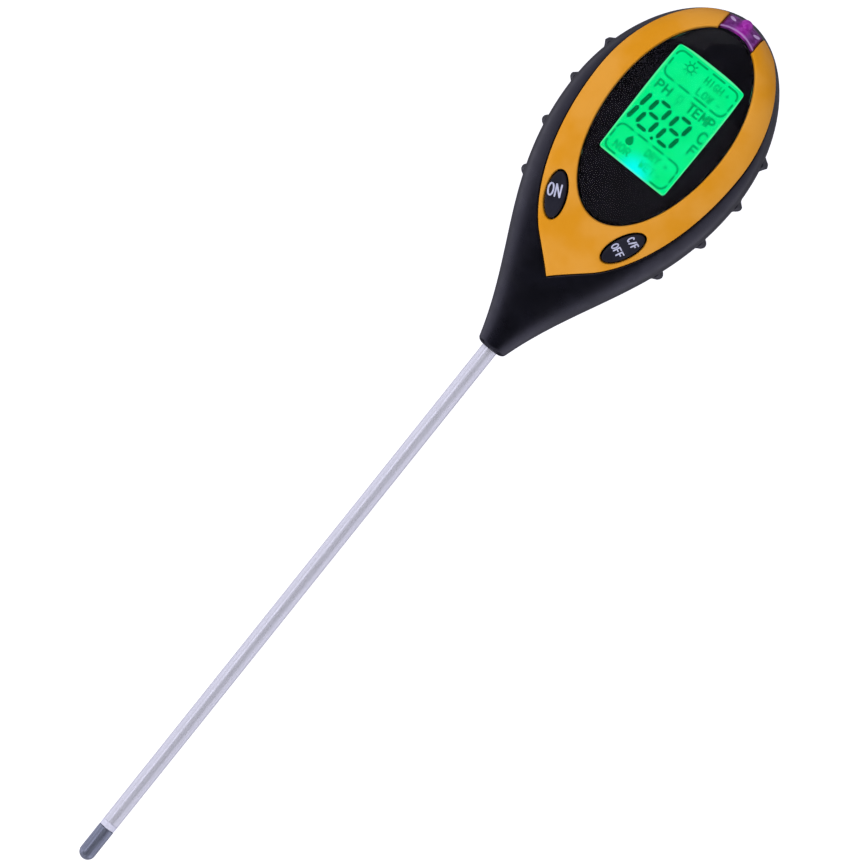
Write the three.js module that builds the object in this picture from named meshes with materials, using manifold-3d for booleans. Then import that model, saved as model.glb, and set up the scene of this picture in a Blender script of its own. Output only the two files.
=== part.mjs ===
// A hand-held soil meter: a teardrop head on a long thin probe.
// The head has a display, two buttons and a light window.
// Millimetres. The probe's tip is the origin and the probe runs up +Z.
// The display faces -Y and +X is to its right.
import * as THREE from "three";
import { mergeVertices } from "three/addons/utils/BufferGeometryUtils.js";
import Module from "manifold-3d";

const wasm = await Module();
wasm.setup();

// ---------------------------------------------------------------- driving dimensions

const gap = 0.3; // clearance between pieces that touch

// Probe
const probeLength = 192.3; // from the tip to the head's neck
const probeRadius = 2.5;
const probeBore = 1.7;
const electrodeLength = 11.4;
const insulatorLength = 1.7;
const probeInHead = 20; // length of tube held inside the neck

// Head. Heights in the head are measured from the neck's end.
const headHeight = 122;
const widestHeight = 78;
const halfWidth = 30.3;
const neckHalfWidth = 4.5;
const neckRounding = 1.2;
const neckFloor = 8.7; // below this height the neck is solid around the probe
const frontDepth = 15.5; // from the seam to the face
const rearDepth = 22; // of the rear curve, before its back is cut flat
const backFlat = 20.4; // from the seam to the flat back
const crownPower = 1.95; // superellipse powers: the crown from in front,
const frontCrownPower = 5; // the crown's front edge and
const rearCrownPower = 3.6; // its rear edge from the side,
const faceSquareness = 1.6; // and what a round section gains in front
const backSquareness = 0.6; // and behind
const sideWall = 2.2;
const faceWall = 3.8; // wall and bezel together
const crownWall = 3.4;
const backWall = 2;

// Face
const bezelProud = 0.3;
const bezelSeat = -1.6; // floor of the bezel's seat, below the face
const bezelHalfWidth = 26.2;
const bezelCentre = 85.8;
const bezelRise = 36.4; // from its widest height to the crown
const bezelPoint = 27.9; // height of the lower point
const bezelBackEdge = -3.5; // where the bezel stops behind the crown
const ovalCentre = 86;
const ovalHalfWidth = 19.15;
const ovalRise = 32.4;
const ovalDrop = 36;
const lensFront = -0.15; // both layers of the window, below the face
const lensBack = -1.7;
const maskFront = -2;
const maskBack = -2.5;

// Display
const displayCentre = 86.8; // the window's lit rectangle
const displayMiddle = 0.2;
const displayHalfWidth = 12.1;
const displayHalfHeight = 19.15;
const displayCorner = 1;
const glassHalfWidth = 13.2;
const glassBottom = 62.6;
const glassTop = 107.3;
const glassFront = -11;
const glassBack = -9.4;
const diffuserHalfWidth = 12.4;
const diffuserBottom = 67.3;
const diffuserTop = 106.6;
const diffuserBack = -6.6;
const stripLow = 63.2; // the rubber strip that joins the glass to the board
const stripHigh = 64.5;
const trayHalfWidth = 14.6;
const trayBottom = 61.2;
const trayTop = 108.9;
const trayFront = -9.8;
const trayBack = -5.2;

// Board
const boardFront = -4.6;
const boardBack = -3;
const boardInset = 7;
const boardBottom = 42;
const boardTop = 110.4;

// Buttons
const buttonX = 12.6;
const buttonHeight = 48.7;
const buttonAcross = 3.15; // half axes of the oval cap
const buttonAlong = 7.3;
const buttonLean = THREE.MathUtils.degToRad(24.4);
const buttonGap = 0.3;
const buttonBack = -8.4;
const flangeFront = -9.1;
const flangeGrow = 1.1;
const plungerRadius = 1.5;
const plungerBack = -6.2;
const switchHalf = 3;
const switchFront = -7.3;

// Battery and its door
const batteryHalfWidth = 13.25;
const batteryBottom = 52.3;
const batteryTop = 98.3;
const batteryFront = 0.5;
const batteryBack = 17.7;
const bayHalfWidth = 13.8;
const bayBottom = 50.6;
const bayTop = 103.8;
const bayFront = 0.2;
const bayWall = 1.2;
const doorHalfWidth = 14.6;
const doorBottom = 49.6;
const doorTop = 104.4;
const doorWall = 1.6;
const doorFront = 5; // the door is cut from the back in front of this depth
const fingerGrooves = [95, 97.4, 99.8];
const hookX = 9;
const hookHalfWidth = 2.5;
const hookFront = 17;
const tongueHalfWidth = 4;

// Light window and the sensor under it
const lightHalfWidth = 6.35;
const lightBottom = 100;
const sensorY = -5.8;
const sensorRadius = 1.8;

// Grips on the sides
const ribHeights = [47.3, 62.3, 77.4, 91.5];
const ribRadii = [3.4, 6.5, 2.1];
const ribSink = 1.8; // how far the rib's middle lies inside the side
const ribY = 5.2;

// Fasteners: places as [x, height]
const shellScrews = [[-18.6, 103.5], [18.6, 103.5], [-12.5, 38], [12.5, 38]];
const boardScrews = [[-19, 62], [19, 62], [0, 44.6]];
const shellPilot = 1.45;
const shellBoss = 2.7; // in front, and the screw head's recess behind
const shellPost = 3.4;
const shellScrewSeat = 6.2;
const boardPilot = 1.15;
const boardBoss = 2.4;
const screwSides = 14;

// Neck seal
const sealHeight = 3.9;
const sealRadius = 3.2;
const sealThickness = 0.4;

// A box larger than the head, for cutting
const far = 60;
const farBelow = -10;
const farAbove = 140;

// ---------------------------------------------------------------- materials

function material(color, roughness, metalness = 0, opacity = 1) {
  return new THREE.MeshStandardMaterial({
    color,
    roughness,
    metalness,
    opacity,
    transparent: opacity < 1,
  });
}

const blackShell = material(0x1b1b20, 0.45);
const blackCap = material(0x18181c, 0.4);
const yellowTrim = material(0xd99730, 0.4);
const clearLens = material(0x202024, 0.1, 0, 0.35);
const maskInk = material(0x141416, 0.6);
const litGlass = material(0x18f08c, 0.2);
const whitePlastic = material(0xe8e8e4, 0.5);
const purpleLens = material(0x7a4a86, 0.2, 0, 0.7);
const boardGreen = material(0x1f6b3a, 0.5);
const chipBlack = material(0x101012, 0.5);
const rubberGrey = material(0x55565c, 0.8);
const sealBlack = material(0x141414, 0.8);
const satinMetal = material(0xc4c4cc, 0.35, 1);
const darkMetal = material(0x74747e, 0.4, 1);
const brassMetal = material(0xb5924c, 0.4, 1);
const steelMetal = material(0x9a9aa0, 0.35, 1);
const batteryCase = material(0x3a4a6a, 0.35, 0.3);
const foamGrey = material(0x3c3c40, 0.95);
const redWire = material(0xb02020, 0.5);
const blackWire = material(0x161616, 0.5);
const whiteWire = material(0xdcdcd8, 0.5);

// ---------------------------------------------------------------- solids and outlines

function solid(geometry) {
  const bare = geometry.clone();
  bare.deleteAttribute("normal");
  bare.deleteAttribute("uv");
  const merged = mergeVertices(bare, 1e-4);
  const mesh = { numProp: 3, vertProperties: merged.attributes.position.array };
  mesh.triVerts = new Uint32Array(merged.index.array);
  return new wasm.Manifold(new wasm.Mesh(mesh));
}

function block(x, y, z) {
  const geometry = new THREE.BoxGeometry(x[1] - x[0], y[1] - y[0], z[1] - z[0]);
  geometry.translate((x[0] + x[1]) / 2, (y[0] + y[1]) / 2, (z[0] + z[1]) / 2);
  return solid(geometry);
}

// A solid with its outline in the X-Z plane, from y = back forwards to y = front.
function prism(shape, back, front, curveSegments = 9) {
  const depth = back - front;
  const geometry = new THREE.ExtrudeGeometry(shape, { depth, bevelEnabled: false, curveSegments });
  geometry.rotateX(Math.PI / 2);
  geometry.translate(0, back, 0);
  return solid(geometry);
}

function rodAlongY(radius, back, front, x, z, sides = 14) {
  const geometry = new THREE.CylinderGeometry(radius, radius, back - front, sides);
  geometry.translate(x, (back + front) / 2, z);
  return solid(geometry);
}

function rodAlongZ(radius, bottom, top, x = 0, y = 0, sides = 20) {
  const geometry = new THREE.CylinderGeometry(radius, radius, top - bottom, sides);
  geometry.rotateX(Math.PI / 2);
  geometry.translate(x, y, (bottom + top) / 2);
  return solid(geometry);
}

// A turned solid about Z, from [radius, z] pairs that start and end on the axis, or close on themselves.
function turned(profile, sides = 18) {
  const points = profile.map(([radius, z]) => new THREE.Vector2(radius, z));
  const geometry = new THREE.LatheGeometry(points, sides);
  geometry.rotateX(Math.PI / 2);
  return geometry;
}

function wire(points, radius, steps) {
  const path = new THREE.CatmullRomCurve3(points.map((p) => new THREE.Vector3(...p)), false, "centripetal");
  const section = new THREE.Shape();
  section.absarc(0, 0, radius, 0, 2 * Math.PI, false);
  return new THREE.ExtrudeGeometry(section, { extrudePath: path, steps, curveSegments: 4 });
}

function ellipsoid(radii, centre, sides = 16) {
  const geometry = new THREE.SphereGeometry(1, sides, Math.round(sides * 0.6));
  geometry.scale(...radii);
  geometry.translate(...centre);
  return solid(geometry);
}

function roundedRectangle(xLow, xHigh, zLow, zHigh, radius) {
  const shape = new THREE.Shape();
  shape.absarc(xHigh - radius, zHigh - radius, radius, 0, Math.PI / 2, false);
  shape.absarc(xLow + radius, zHigh - radius, radius, Math.PI / 2, Math.PI, false);
  shape.absarc(xLow + radius, zLow + radius, radius, Math.PI, 1.5 * Math.PI, false);
  shape.absarc(xHigh - radius, zLow + radius, radius, 1.5 * Math.PI, 2 * Math.PI, false);
  return shape;
}

function ovalOutline(grow) {
  const shape = new THREE.Shape();
  shape.absellipse(0, ovalCentre, ovalHalfWidth + grow, ovalRise + grow, 0, Math.PI, false);
  shape.absellipse(0, ovalCentre, ovalHalfWidth + grow, ovalDrop + grow, Math.PI, 2 * Math.PI, false);
  return shape;
}

// Half an ellipse over the crown, then a full flank that turns into the lower point.
function bezelOutline(grow) {
  const side = bezelHalfWidth + grow;
  const turn = [10.5 + 0.7 * grow, 37.8 - 0.7 * grow];
  const shape = new THREE.Shape();
  shape.absellipse(0, bezelCentre, side, bezelRise + grow, 0, Math.PI, false);
  shape.bezierCurveTo(-side, 63.8, -19 - 0.8 * grow, 46.7 - 0.6 * grow, -turn[0], turn[1]);
  shape.bezierCurveTo(
    -7.8 - 0.7 * grow, 35.2 - 0.7 * grow, -2.6, 30.8 - 1.2 * grow, 0, bezelPoint - 1.4 * grow);
  shape.bezierCurveTo(2.6, 30.8 - 1.2 * grow, 7.8 + 0.7 * grow, 35.2 - 0.7 * grow, turn[0], turn[1]);
  shape.bezierCurveTo(19 + 0.8 * grow, 46.7 - 0.6 * grow, side, 63.8, side, bezelCentre);
  return shape;
}

function buttonOutline(side, grow) {
  const shape = new THREE.Shape();
  const across = buttonAcross + grow;
  const along = buttonAlong + grow;
  shape.absellipse(side * buttonX, buttonHeight, across, along, 0, 2 * Math.PI, false, -side * buttonLean);
  return shape;
}

// ---------------------------------------------------------------- the head's form

function point(height, value) {
  return new THREE.Vector2(height, value);
}

// Each flank runs from the neck up to the height where the head has its full size.
const sideFlank = [[0, neckHalfWidth], [28, 12.5], [45, halfWidth], [widestHeight, halfWidth]];
const frontFlank = [[0, neckHalfWidth], [24, 8.5], [32, frontDepth], [66, frontDepth]];
const rearFlank = [[0, neckHalfWidth], [20, 8], [28, rearDepth], [70, rearDepth]];

function flankAt(flank, height) {
  const curve = new THREE.CubicBezierCurve(...flank.map((p) => point(...p)));
  let low = 0;
  let high = 1;
  for (let i = 0; i < 30; i += 1) {
    const middle = (low + high) / 2;
    if (curve.getPoint(middle).x < height) low = middle;
    else high = middle;
  }
  return curve.getPoint(high).y;
}

function crownAt(rise, power) {
  return (1 - rise ** power) ** (1 / power);
}

function neckCorner(height) {
  if (height >= neckRounding) return 0;
  return neckRounding - Math.sqrt(neckRounding ** 2 - (neckRounding - height) ** 2);
}

const flankHeights = [0, 0.3, neckRounding];
for (let i = 1; i <= 13; i += 1) flankHeights.push((widestHeight * i) / 13);
const crownRises = [];
for (let i = 1; i < 8; i += 1) crownRises.push(Math.sin((i * Math.PI) / 16));

// The head's half width, front depth and rear depth at every level, with each wall moved out by the given
// growth (in for a negative one). Below the bezel the front wall is as thick as the sides.
function levels(grow) {
  const list = flankHeights.map((height) => {
    const blend = THREE.MathUtils.smoothstep(height, 14, 26);
    const corner = neckCorner(height);
    return {
      height,
      side: flankAt(sideFlank, height) + grow.side - corner,
      front: flankAt(frontFlank, height) + THREE.MathUtils.lerp(grow.side, grow.front, blend) - corner,
      rear: flankAt(rearFlank, height) + grow.rear - corner,
    };
  });
  for (const rise of crownRises) {
    list.push({
      height: widestHeight + (headHeight - widestHeight + grow.crown) * rise,
      side: (halfWidth + grow.side) * crownAt(rise, crownPower),
      front: (frontDepth + grow.front) * crownAt(rise, frontCrownPower),
      rear: (rearDepth + grow.rear) * crownAt(rise, rearCrownPower),
    });
  }
  return list;
}

const ringSides = 32;

function ring({ height, side, front, rear }) {
  const square = THREE.MathUtils.smoothstep(height, 4, 46);
  const points = [];
  for (let i = 0; i < ringSides; i += 1) {
    const angle = (2 * Math.PI * i) / ringSides;
    const [c, s] = [Math.cos(angle), Math.sin(angle)];
    const power = 2 / (2 + square * (s < 0 ? faceSquareness : backSquareness));
    const x = side * Math.sign(c) * Math.abs(c) ** power;
    const y = (s < 0 ? front : rear) * Math.sign(s) * Math.abs(s) ** power;
    points.push(x, y, height);
  }
  return points;
}

// A closed loft through superellipse sections, from the flat neck end to the point of the crown.
function form(grow) {
  const rings = levels(grow).map(ring);
  const positions = rings.flat();
  const apex = rings.length * ringSides;
  const base = apex + 1;
  positions.push(0, 0, headHeight + grow.crown, 0, 0, 0);
  const faces = [];
  const last = (rings.length - 1) * ringSides;
  for (let i = 0; i < ringSides; i += 1) {
    const next = (i + 1) % ringSides;
    for (let row = 0; row < last; row += ringSides) {
      faces.push(row + i, row + next, row + ringSides + next);
      faces.push(row + i, row + ringSides + next, row + ringSides + i);
    }
    faces.push(last + i, last + next, apex);
    faces.push(base, next, i);
  }
  const geometry = new THREE.BufferGeometry();
  geometry.setAttribute("position", new THREE.Float32BufferAttribute(positions, 3));
  geometry.setIndex(faces);
  return solid(geometry);
}

// The same growth all round. The face and the crown are one smooth skin.
function skin(grow) {
  return form({ side: grow, front: grow, rear: grow, crown: grow });
}

const across = [-far, far];
const tall = [farBelow, farAbove];
const inFront = (y) => block(across, [-far, y], tall);
const behind = (y) => block(across, [y, far], tall);
const above = (z) => block(across, across, [z, farAbove]);

const outerForm = skin(0).intersect(inFront(backFlat));
const cavityForm = form({ side: -sideWall, front: -faceWall, rear: -backWall, crown: -crownWall })
  .intersect(inFront(backFlat - backWall))
  .intersect(above(neckFloor));

// A sheet that follows the face, between two growths.
function faceSheet(outer, inner) {
  return skin(outer).subtract(skin(inner)).intersect(inFront(bezelBackEdge));
}

// An outline cut through the whole front of the head, back to a depth.
function throughFront(outline, back, curveSegments) {
  return prism(outline, back, -far, curveSegments);
}

const sealGroove = sealRadius + sealThickness + gap;
const neckBore = rodAlongZ(probeRadius + gap, -1, neckFloor + 1)
  .add(rodAlongZ(sealGroove, sealHeight - 2 * sealThickness, sealHeight + 2 * sealThickness));

// ---------------------------------------------------------------- the pieces of the head

const head = new THREE.Group();
head.position.z = probeLength;
const probe = new THREE.Group();
const meter = new THREE.Group();
meter.add(head, probe);

function place(group, name, shape, look) {
  let geometry = shape;
  if (!shape.isBufferGeometry) {
    const { vertProperties, triVerts } = shape.simplify(0.02).getMesh();
    geometry = new THREE.BufferGeometry();
    geometry.setAttribute("position", new THREE.Float32BufferAttribute(vertProperties, 3));
    geometry.setIndex(new THREE.Uint32BufferAttribute(triVerts, 1));
    geometry = geometry.toNonIndexed();
    geometry.computeVertexNormals();
  }
  const mesh = new THREE.Mesh(geometry, look);
  mesh.name = name;
  group.add(mesh);
}

function makeFrontShell() {
  const bossFront = -11;
  const pastWall = -5;
  let shell = outerForm.intersect(inFront(-gap / 2)).subtract(cavityForm);
  for (const [x, z] of shellScrews) shell = shell.add(rodAlongY(shellBoss, -gap / 2, bossFront + 2, x, z));
  for (const [x, z] of boardScrews) {
    shell = shell.add(rodAlongY(boardBoss, boardFront - gap, bossFront, x, z));
  }
  const seat = throughFront(bezelOutline(gap), bezelBackEdge + gap, 14).subtract(skin(bezelSeat));
  const windowSeat = throughFront(ovalOutline(0), lensBack - gap, 14).subtract(skin(maskBack - gap));
  const opening = roundedRectangle(
    -trayHalfWidth - gap, trayHalfWidth + gap, trayBottom - gap, trayTop + gap, 3);
  shell = shell.subtract(seat).subtract(windowSeat).subtract(throughFront(opening, pastWall, 4));
  for (const side of [-1, 1]) shell = shell.subtract(throughFront(buttonOutline(side, buttonGap), pastWall));
  for (const [x, z] of shellScrews) shell = shell.subtract(rodAlongY(shellPilot, 1, bossFront + 4, x, z));
  for (const [x, z] of boardScrews) shell = shell.subtract(rodAlongY(boardPilot, -4, bossFront + 1.4, x, z));
  shell = shell.subtract(rodAlongZ(sensorRadius + gap, 108, headHeight + 3, 0, sensorY));
  return shell.subtract(neckBore).intersect(outerForm);
}

// The head's half width at a height.
function widthAt(height) {
  if (height <= widestHeight) return flankAt(sideFlank, height);
  return halfWidth * crownAt((height - widestHeight) / (headHeight - widestHeight), crownPower);
}

function withGripRibs(shape) {
  let ribbed = shape;
  for (const z of ribHeights) {
    for (const side of [-1, 1]) {
      ribbed = ribbed.add(ellipsoid(ribRadii, [side * (widthAt(z) - ribSink), ribY, z], 10));
    }
  }
  return ribbed;
}

const doorOutline = (grow) =>
  roundedRectangle(-doorHalfWidth - grow, doorHalfWidth + grow, doorBottom - grow, doorTop + grow, 2.5);

function makeRearShell() {
  const slotBottom = 47.4;
  let shell = withGripRibs(outerForm).intersect(behind(gap / 2)).subtract(cavityForm);
  const bay = block(
    [-bayHalfWidth - bayWall, bayHalfWidth + bayWall],
    [bayFront - bayWall, backFlat],
    [bayBottom - bayWall, bayTop + bayWall]);
  shell = shell.add(bay.intersect(outerForm));
  for (const [x, z] of shellScrews) {
    shell = shell.add(rodAlongY(shellPost, far, gap / 2, x, z).intersect(outerForm));
  }
  shell = shell.subtract(block([-bayHalfWidth, bayHalfWidth], [bayFront, far], [bayBottom, bayTop]));
  const doorSeat = prism(doorOutline(gap), far, doorFront, 4)
    .subtract(skin(-doorWall - gap).intersect(inFront(backFlat - doorWall - gap)));
  shell = shell.subtract(doorSeat);
  for (const side of [-1, 1]) {
    const x = [side * hookX - hookHalfWidth - gap, side * hookX + hookHalfWidth + gap];
    shell = shell.subtract(block(x, [hookFront - 0.6, backFlat - doorWall], [slotBottom, bayBottom + 1]));
  }
  const leadOpening = block([-9, 9], [6, 10.5], [bayTop - 1, bayTop + 3]);
  shell = shell.subtract(leadOpening);
  for (const [x, z] of shellScrews) {
    shell = shell.subtract(rodAlongY(shellPilot, shellScrewSeat + 2, -1, x, z));
    shell = shell.subtract(rodAlongY(shellBoss, far, shellScrewSeat, x, z));
  }
  return shell.subtract(neckBore);
}

function makeBezel() {
  let bezel = faceSheet(bezelProud, bezelSeat + gap).intersect(throughFront(bezelOutline(0), 0, 14));
  bezel = bezel.subtract(throughFront(ovalOutline(0), 0, 14));
  for (const side of [-1, 1]) bezel = bezel.subtract(throughFront(buttonOutline(side, buttonGap), 0));
  return bezel.subtract(block([-lightHalfWidth, lightHalfWidth], [-far, 0], [lightBottom, farAbove]));
}

function makeLightWindow() {
  const span = lightHalfWidth - gap;
  const dome = ellipsoid([2.1, 3.2, 2], [0, -7.6, headHeight - 0.8]);
  return faceSheet(bezelProud, bezelSeat + gap)
    .intersect(block([-span, span], [-far, 0], [lightBottom, farAbove]))
    .subtract(throughFront(ovalOutline(gap), 0, 14))
    .add(dome.subtract(skin(bezelSeat + gap)));
}

function makeButton(side) {
  const cap = throughFront(buttonOutline(side, 0), buttonBack).intersect(skin(bezelProud + 0.6));
  return cap.add(prism(buttonOutline(side, flangeGrow), buttonBack, flangeFront));
}

function makeSwitch(side) {
  const x = side * buttonX;
  const body = block(
    [x - switchHalf, x + switchHalf],
    [switchFront, boardFront - gap],
    [buttonHeight - switchHalf, buttonHeight + switchHalf]);
  return body.subtract(rodAlongY(plungerRadius + 0.4, plungerBack + 0.8, -far, x, buttonHeight));
}

place(head, "front_shell", makeFrontShell(), blackShell);
place(head, "rear_shell", makeRearShell(), blackShell);
place(head, "face_bezel", makeBezel(), yellowTrim);
place(head, "light_window", makeLightWindow(), purpleLens);

const lens = faceSheet(lensFront, lensBack).intersect(throughFront(ovalOutline(-gap), 0, 14));
place(head, "window_lens", lens, clearLens);

const displayHole = roundedRectangle(
  displayMiddle - displayHalfWidth,
  displayMiddle + displayHalfWidth,
  displayCentre - displayHalfHeight,
  displayCentre + displayHalfHeight,
  displayCorner);
const mask = faceSheet(maskFront, maskBack)
  .intersect(throughFront(ovalOutline(-gap), 0, 14))
  .subtract(throughFront(displayHole, 0, 4));
place(head, "window_mask", mask, maskInk);

for (const [side, name] of [[-1, "on"], [1, "off"]]) {
  place(head, name + "_button", makeButton(side), blackCap);
  place(head, name + "_switch", makeSwitch(side), chipBlack);
  const plunger = rodAlongY(plungerRadius, plungerBack, buttonBack + gap, side * buttonX, buttonHeight);
  place(head, name + "_plunger", plunger, whitePlastic);
}

// ---------------------------------------------------------------- display and board

place(head, "lcd_glass",
  block([-glassHalfWidth, glassHalfWidth], [glassFront, glassBack], [glassBottom, glassTop]), litGlass);

place(head, "backlight_diffuser",
  block(
    [-diffuserHalfWidth, diffuserHalfWidth], [glassBack + 0.6, diffuserBack], [diffuserBottom, diffuserTop]),
  whitePlastic);
place(head, "backlight_led", block([-1.6, 1.6], [-8.6, -6.8], [65.9, diffuserBottom - gap]), whitePlastic);

place(head, "lcd_connector",
  block([-12, 12], [glassBack + gap, boardFront - gap], [stripLow, stripHigh]), rubberGrey);

function makeTray() {
  const outline = roundedRectangle(-trayHalfWidth, trayHalfWidth, trayBottom, trayTop, 2.7);
  const glassPocket = block(
    [-glassHalfWidth - gap, glassHalfWidth + gap],
    [-far, glassBack + gap],
    [glassBottom - gap, glassTop + gap]);
  const lightPocket = block(
    [-diffuserHalfWidth - gap, diffuserHalfWidth + gap],
    [-far, diffuserBack + gap],
    [65.6, diffuserTop + gap]);
  const stripSlot = block([-12.3, 12.3], [-far, 0], [stripLow - gap, stripHigh + gap]);
  const tray = prism(outline, trayBack, trayFront, 4);
  return tray.subtract(glassPocket).subtract(lightPocket).subtract(stripSlot);
}
place(head, "lcd_tray", makeTray(), whitePlastic);

function boardOutline() {
  const steps = 12;
  const right = [];
  for (let i = 0; i <= steps; i += 1) {
    const z = THREE.MathUtils.lerp(boardBottom, boardTop, i / steps);
    right.push(point(widthAt(z) - boardInset, z));
  }
  const left = right.map((p) => point(-p.x, p.y)).reverse();
  return new THREE.Shape([...right, ...left]);
}

function makeBoard() {
  let board = prism(boardOutline(), boardBack, boardFront);
  for (const [x, z] of shellScrews) board = board.subtract(rodAlongY(shellBoss + 0.4, 0, -9, x, z));
  for (const [x, z] of boardScrews) board = board.subtract(rodAlongY(boardPilot, 0, -9, x, z));
  return board;
}
place(head, "main_board", makeBoard(), boardGreen);
place(head, "controller_chip",
  ellipsoid([6, 1.2, 6], [0, boardBack + gap, 76], 20).intersect(behind(boardBack + gap)), chipBlack);

function makeLightSensor() {
  const dome = [sensorRadius, sensorRadius, sensorRadius];
  const bottom = 111.5;
  const domeHeight = 117.6;
  const legHalf = 0.25;
  const legBottom = 109.4;
  let sensor = rodAlongZ(sensorRadius, bottom, domeHeight, 0, sensorY, 16)
    .add(ellipsoid(dome, [0, sensorY, domeHeight]));
  for (const middle of [-1.27, 1.27]) {
    const x = [middle - legHalf, middle + legHalf];
    const upright = block(x, [sensorY - legHalf, sensorY + legHalf], [legBottom, bottom + 0.5]);
    const foot = block(x, [sensorY - legHalf, boardFront - gap], [legBottom, legBottom + 2 * legHalf]);
    sensor = sensor.add(upright).add(foot);
  }
  return sensor;
}
place(head, "light_sensor", makeLightSensor(), purpleLens);

// A pan-head screw along Y, from its tip in front to the top of its head behind.
function screw(x, z, headRadius, shaftRadius, tip, under, top) {
  const profile = [
    [0, tip], [shaftRadius * 0.6, tip], [shaftRadius, tip + 1], [shaftRadius, under],
    [headRadius, under], [headRadius, top - 0.5], [headRadius - 0.5, top], [0, top],
  ];
  const geometry = turned(profile, screwSides);
  geometry.rotateX(-Math.PI / 2);
  geometry.translate(x, 0, z);
  return geometry;
}

shellScrews.forEach(([x, z], i) => {
  place(head, "shell_screw_" + (i + 1), screw(x, z, 2.4, 1.15, -6.5, shellScrewSeat + gap, 8), steelMetal);
});
boardScrews.forEach(([x, z], i) => {
  place(head, "board_screw_" + (i + 1), screw(x, z, 1.9, 0.8, -9.3, boardBack + gap, -1.5), steelMetal);
});

// ---------------------------------------------------------------- battery and door

const batteryOutline = roundedRectangle(
  -batteryHalfWidth, batteryHalfWidth, batteryBottom, batteryTop, 1.5);
const battery = prism(batteryOutline, batteryBack, batteryFront, 4);
place(head, "battery_9v", battery, batteryCase);

const terminalX = 6.35;
const terminalY = 9;
const terminalTop = batteryTop + 2.1;
place(head, "battery_terminal_positive",
  rodAlongZ(2.9, batteryTop + gap, terminalTop, terminalX, terminalY, 16), steelMetal);
place(head, "battery_terminal_negative",
  rodAlongZ(3.9, batteryTop + gap, terminalTop, -terminalX, terminalY, 6), steelMetal);

const connectorTop = 103.2;
const connectorDepth = [terminalY - 4.4, terminalY + 4.4];
place(head, "battery_connector",
  block([-12.5, 12.5], connectorDepth, [terminalTop + gap, connectorTop]), chipBlack);

for (const [side, name, look] of [[1, "red", redWire], [-1, "black", blackWire]]) {
  const x = side * terminalX;
  const route = [
    [x, 8.4, connectorTop + gap],
    [x, 8.2, 105.4],
    [x, 5.6, 107.6],
    [x, 1.4, 107.8],
    [x, boardBack + gap, 107.4],
  ];
  place(head, "battery_lead_" + name, wire(route, 0.7, 14), look);
}

function makeDoor() {
  let door = outerForm.subtract(skin(-doorWall).intersect(inFront(backFlat - doorWall)));
  door = door.intersect(prism(doorOutline(0), far, doorFront, 4));
  const inside = backFlat - doorWall;
  for (const side of [-1, 1]) {
    const x = [side * hookX - hookHalfWidth, side * hookX + hookHalfWidth];
    const arm = block(x, [hookFront, inside + gap], [49.9, 51.2]);
    const toe = block(x, [hookFront, hookFront + 1.1], [47.9, 50.2]);
    door = door.add(arm).add(toe);
  }
  door = door.add(block([-tongueHalfWidth, tongueHalfWidth], [15.8, inside + gap], [102.5, 103.4]));
  for (const z of fingerGrooves) {
    door = door.subtract(block([-7, 7], [backFlat - 0.5, far], [z, z + 1]));
  }
  return door;
}
place(head, "battery_door", makeDoor(), blackShell);
place(head, "battery_foam_pad", block([-9, 9], [18, 18.5], [58, 92]), foamGrey);

// ---------------------------------------------------------------- probe

const tubeBottom = electrodeLength + insulatorLength + gap;
const spigotRadius = 1;
const spigotTop = 20;

function makeElectrode() {
  const profile = [[0, 0]];
  const steps = 7;
  for (let i = 1; i <= steps; i += 1) {
    const angle = (i * Math.PI) / (2 * steps);
    profile.push([probeRadius * Math.sin(angle), probeRadius * (1 - Math.cos(angle))]);
  }
  profile.push([probeRadius, electrodeLength], [spigotRadius, electrodeLength], [spigotRadius, spigotTop]);
  profile.push([0, spigotTop]);
  return turned(profile);
}
place(probe, "electrode_tip", makeElectrode(), darkMetal);

const slip = 0.2; // between the round pieces inside the tube
const sleeveRadius = probeBore - slip;
const ringBottom = electrodeLength + gap;
const ringTop = electrodeLength + insulatorLength;
const insulatorProfile = [
  [spigotRadius + slip, ringBottom], [probeRadius, ringBottom], [probeRadius, ringTop],
  [sleeveRadius, ringTop], [sleeveRadius, spigotTop], [spigotRadius + slip, spigotTop],
  [spigotRadius + slip, ringBottom],
];
place(probe, "tip_insulator", turned(insulatorProfile), whitePlastic);

const tubeTop = probeLength + probeInHead;
const tubeProfile = [
  [probeBore, tubeBottom], [probeRadius, tubeBottom], [probeRadius, tubeTop], [probeBore, tubeTop],
  [probeBore, tubeBottom],
];
place(probe, "probe_tube", turned(tubeProfile), satinMetal);

// The wires leave the top of the tube and rise in front of the board.
const wireY = boardFront - 1;
const wireTop = probeLength + 43.5;
const coreRoute = [
  [-0.75, 0, spigotTop + gap], [-0.75, 0, probeLength], [-0.75, 0, tubeTop - 3], [-0.75, 0, tubeTop + 1],
  [-2.4, -2.4, tubeTop + 10], [-5, wireY, wireTop - 6], [-5, wireY - 0.1, wireTop],
];
place(probe, "probe_core_wire", wire(coreRoute, 0.6, 36), whiteWire);

const bead = ellipsoid([0.75, 0.75, 2], [0.8, 0, 26]);
const sensorRoute = [
  [0.8, 0, 26], [0.8, 0, probeLength], [0.8, 0, tubeTop - 3], [0.8, 0, tubeTop + 1],
  [1.6, -2.4, tubeTop + 10], [3.6, wireY, wireTop - 6], [3.6, wireY - 0.1, wireTop],
];
place(probe, "temperature_sensor", bead.add(solid(wire(sensorRoute, 0.4, 36))), blackWire);

const collarRadius = 3.4;
const lipRadius = 3.75;
const collarBottom = probeLength + neckFloor + gap;
const lipTop = collarBottom + 1.4;
const collarTop = collarBottom + 7;
const collarProfile = [
  [probeRadius + gap, collarBottom], [lipRadius, collarBottom], [lipRadius, lipTop], [collarRadius, lipTop],
  [collarRadius, collarTop], [probeRadius + gap, collarTop], [probeRadius + gap, collarBottom],
];
place(probe, "probe_collar", turned(collarProfile), brassMetal);

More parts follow.
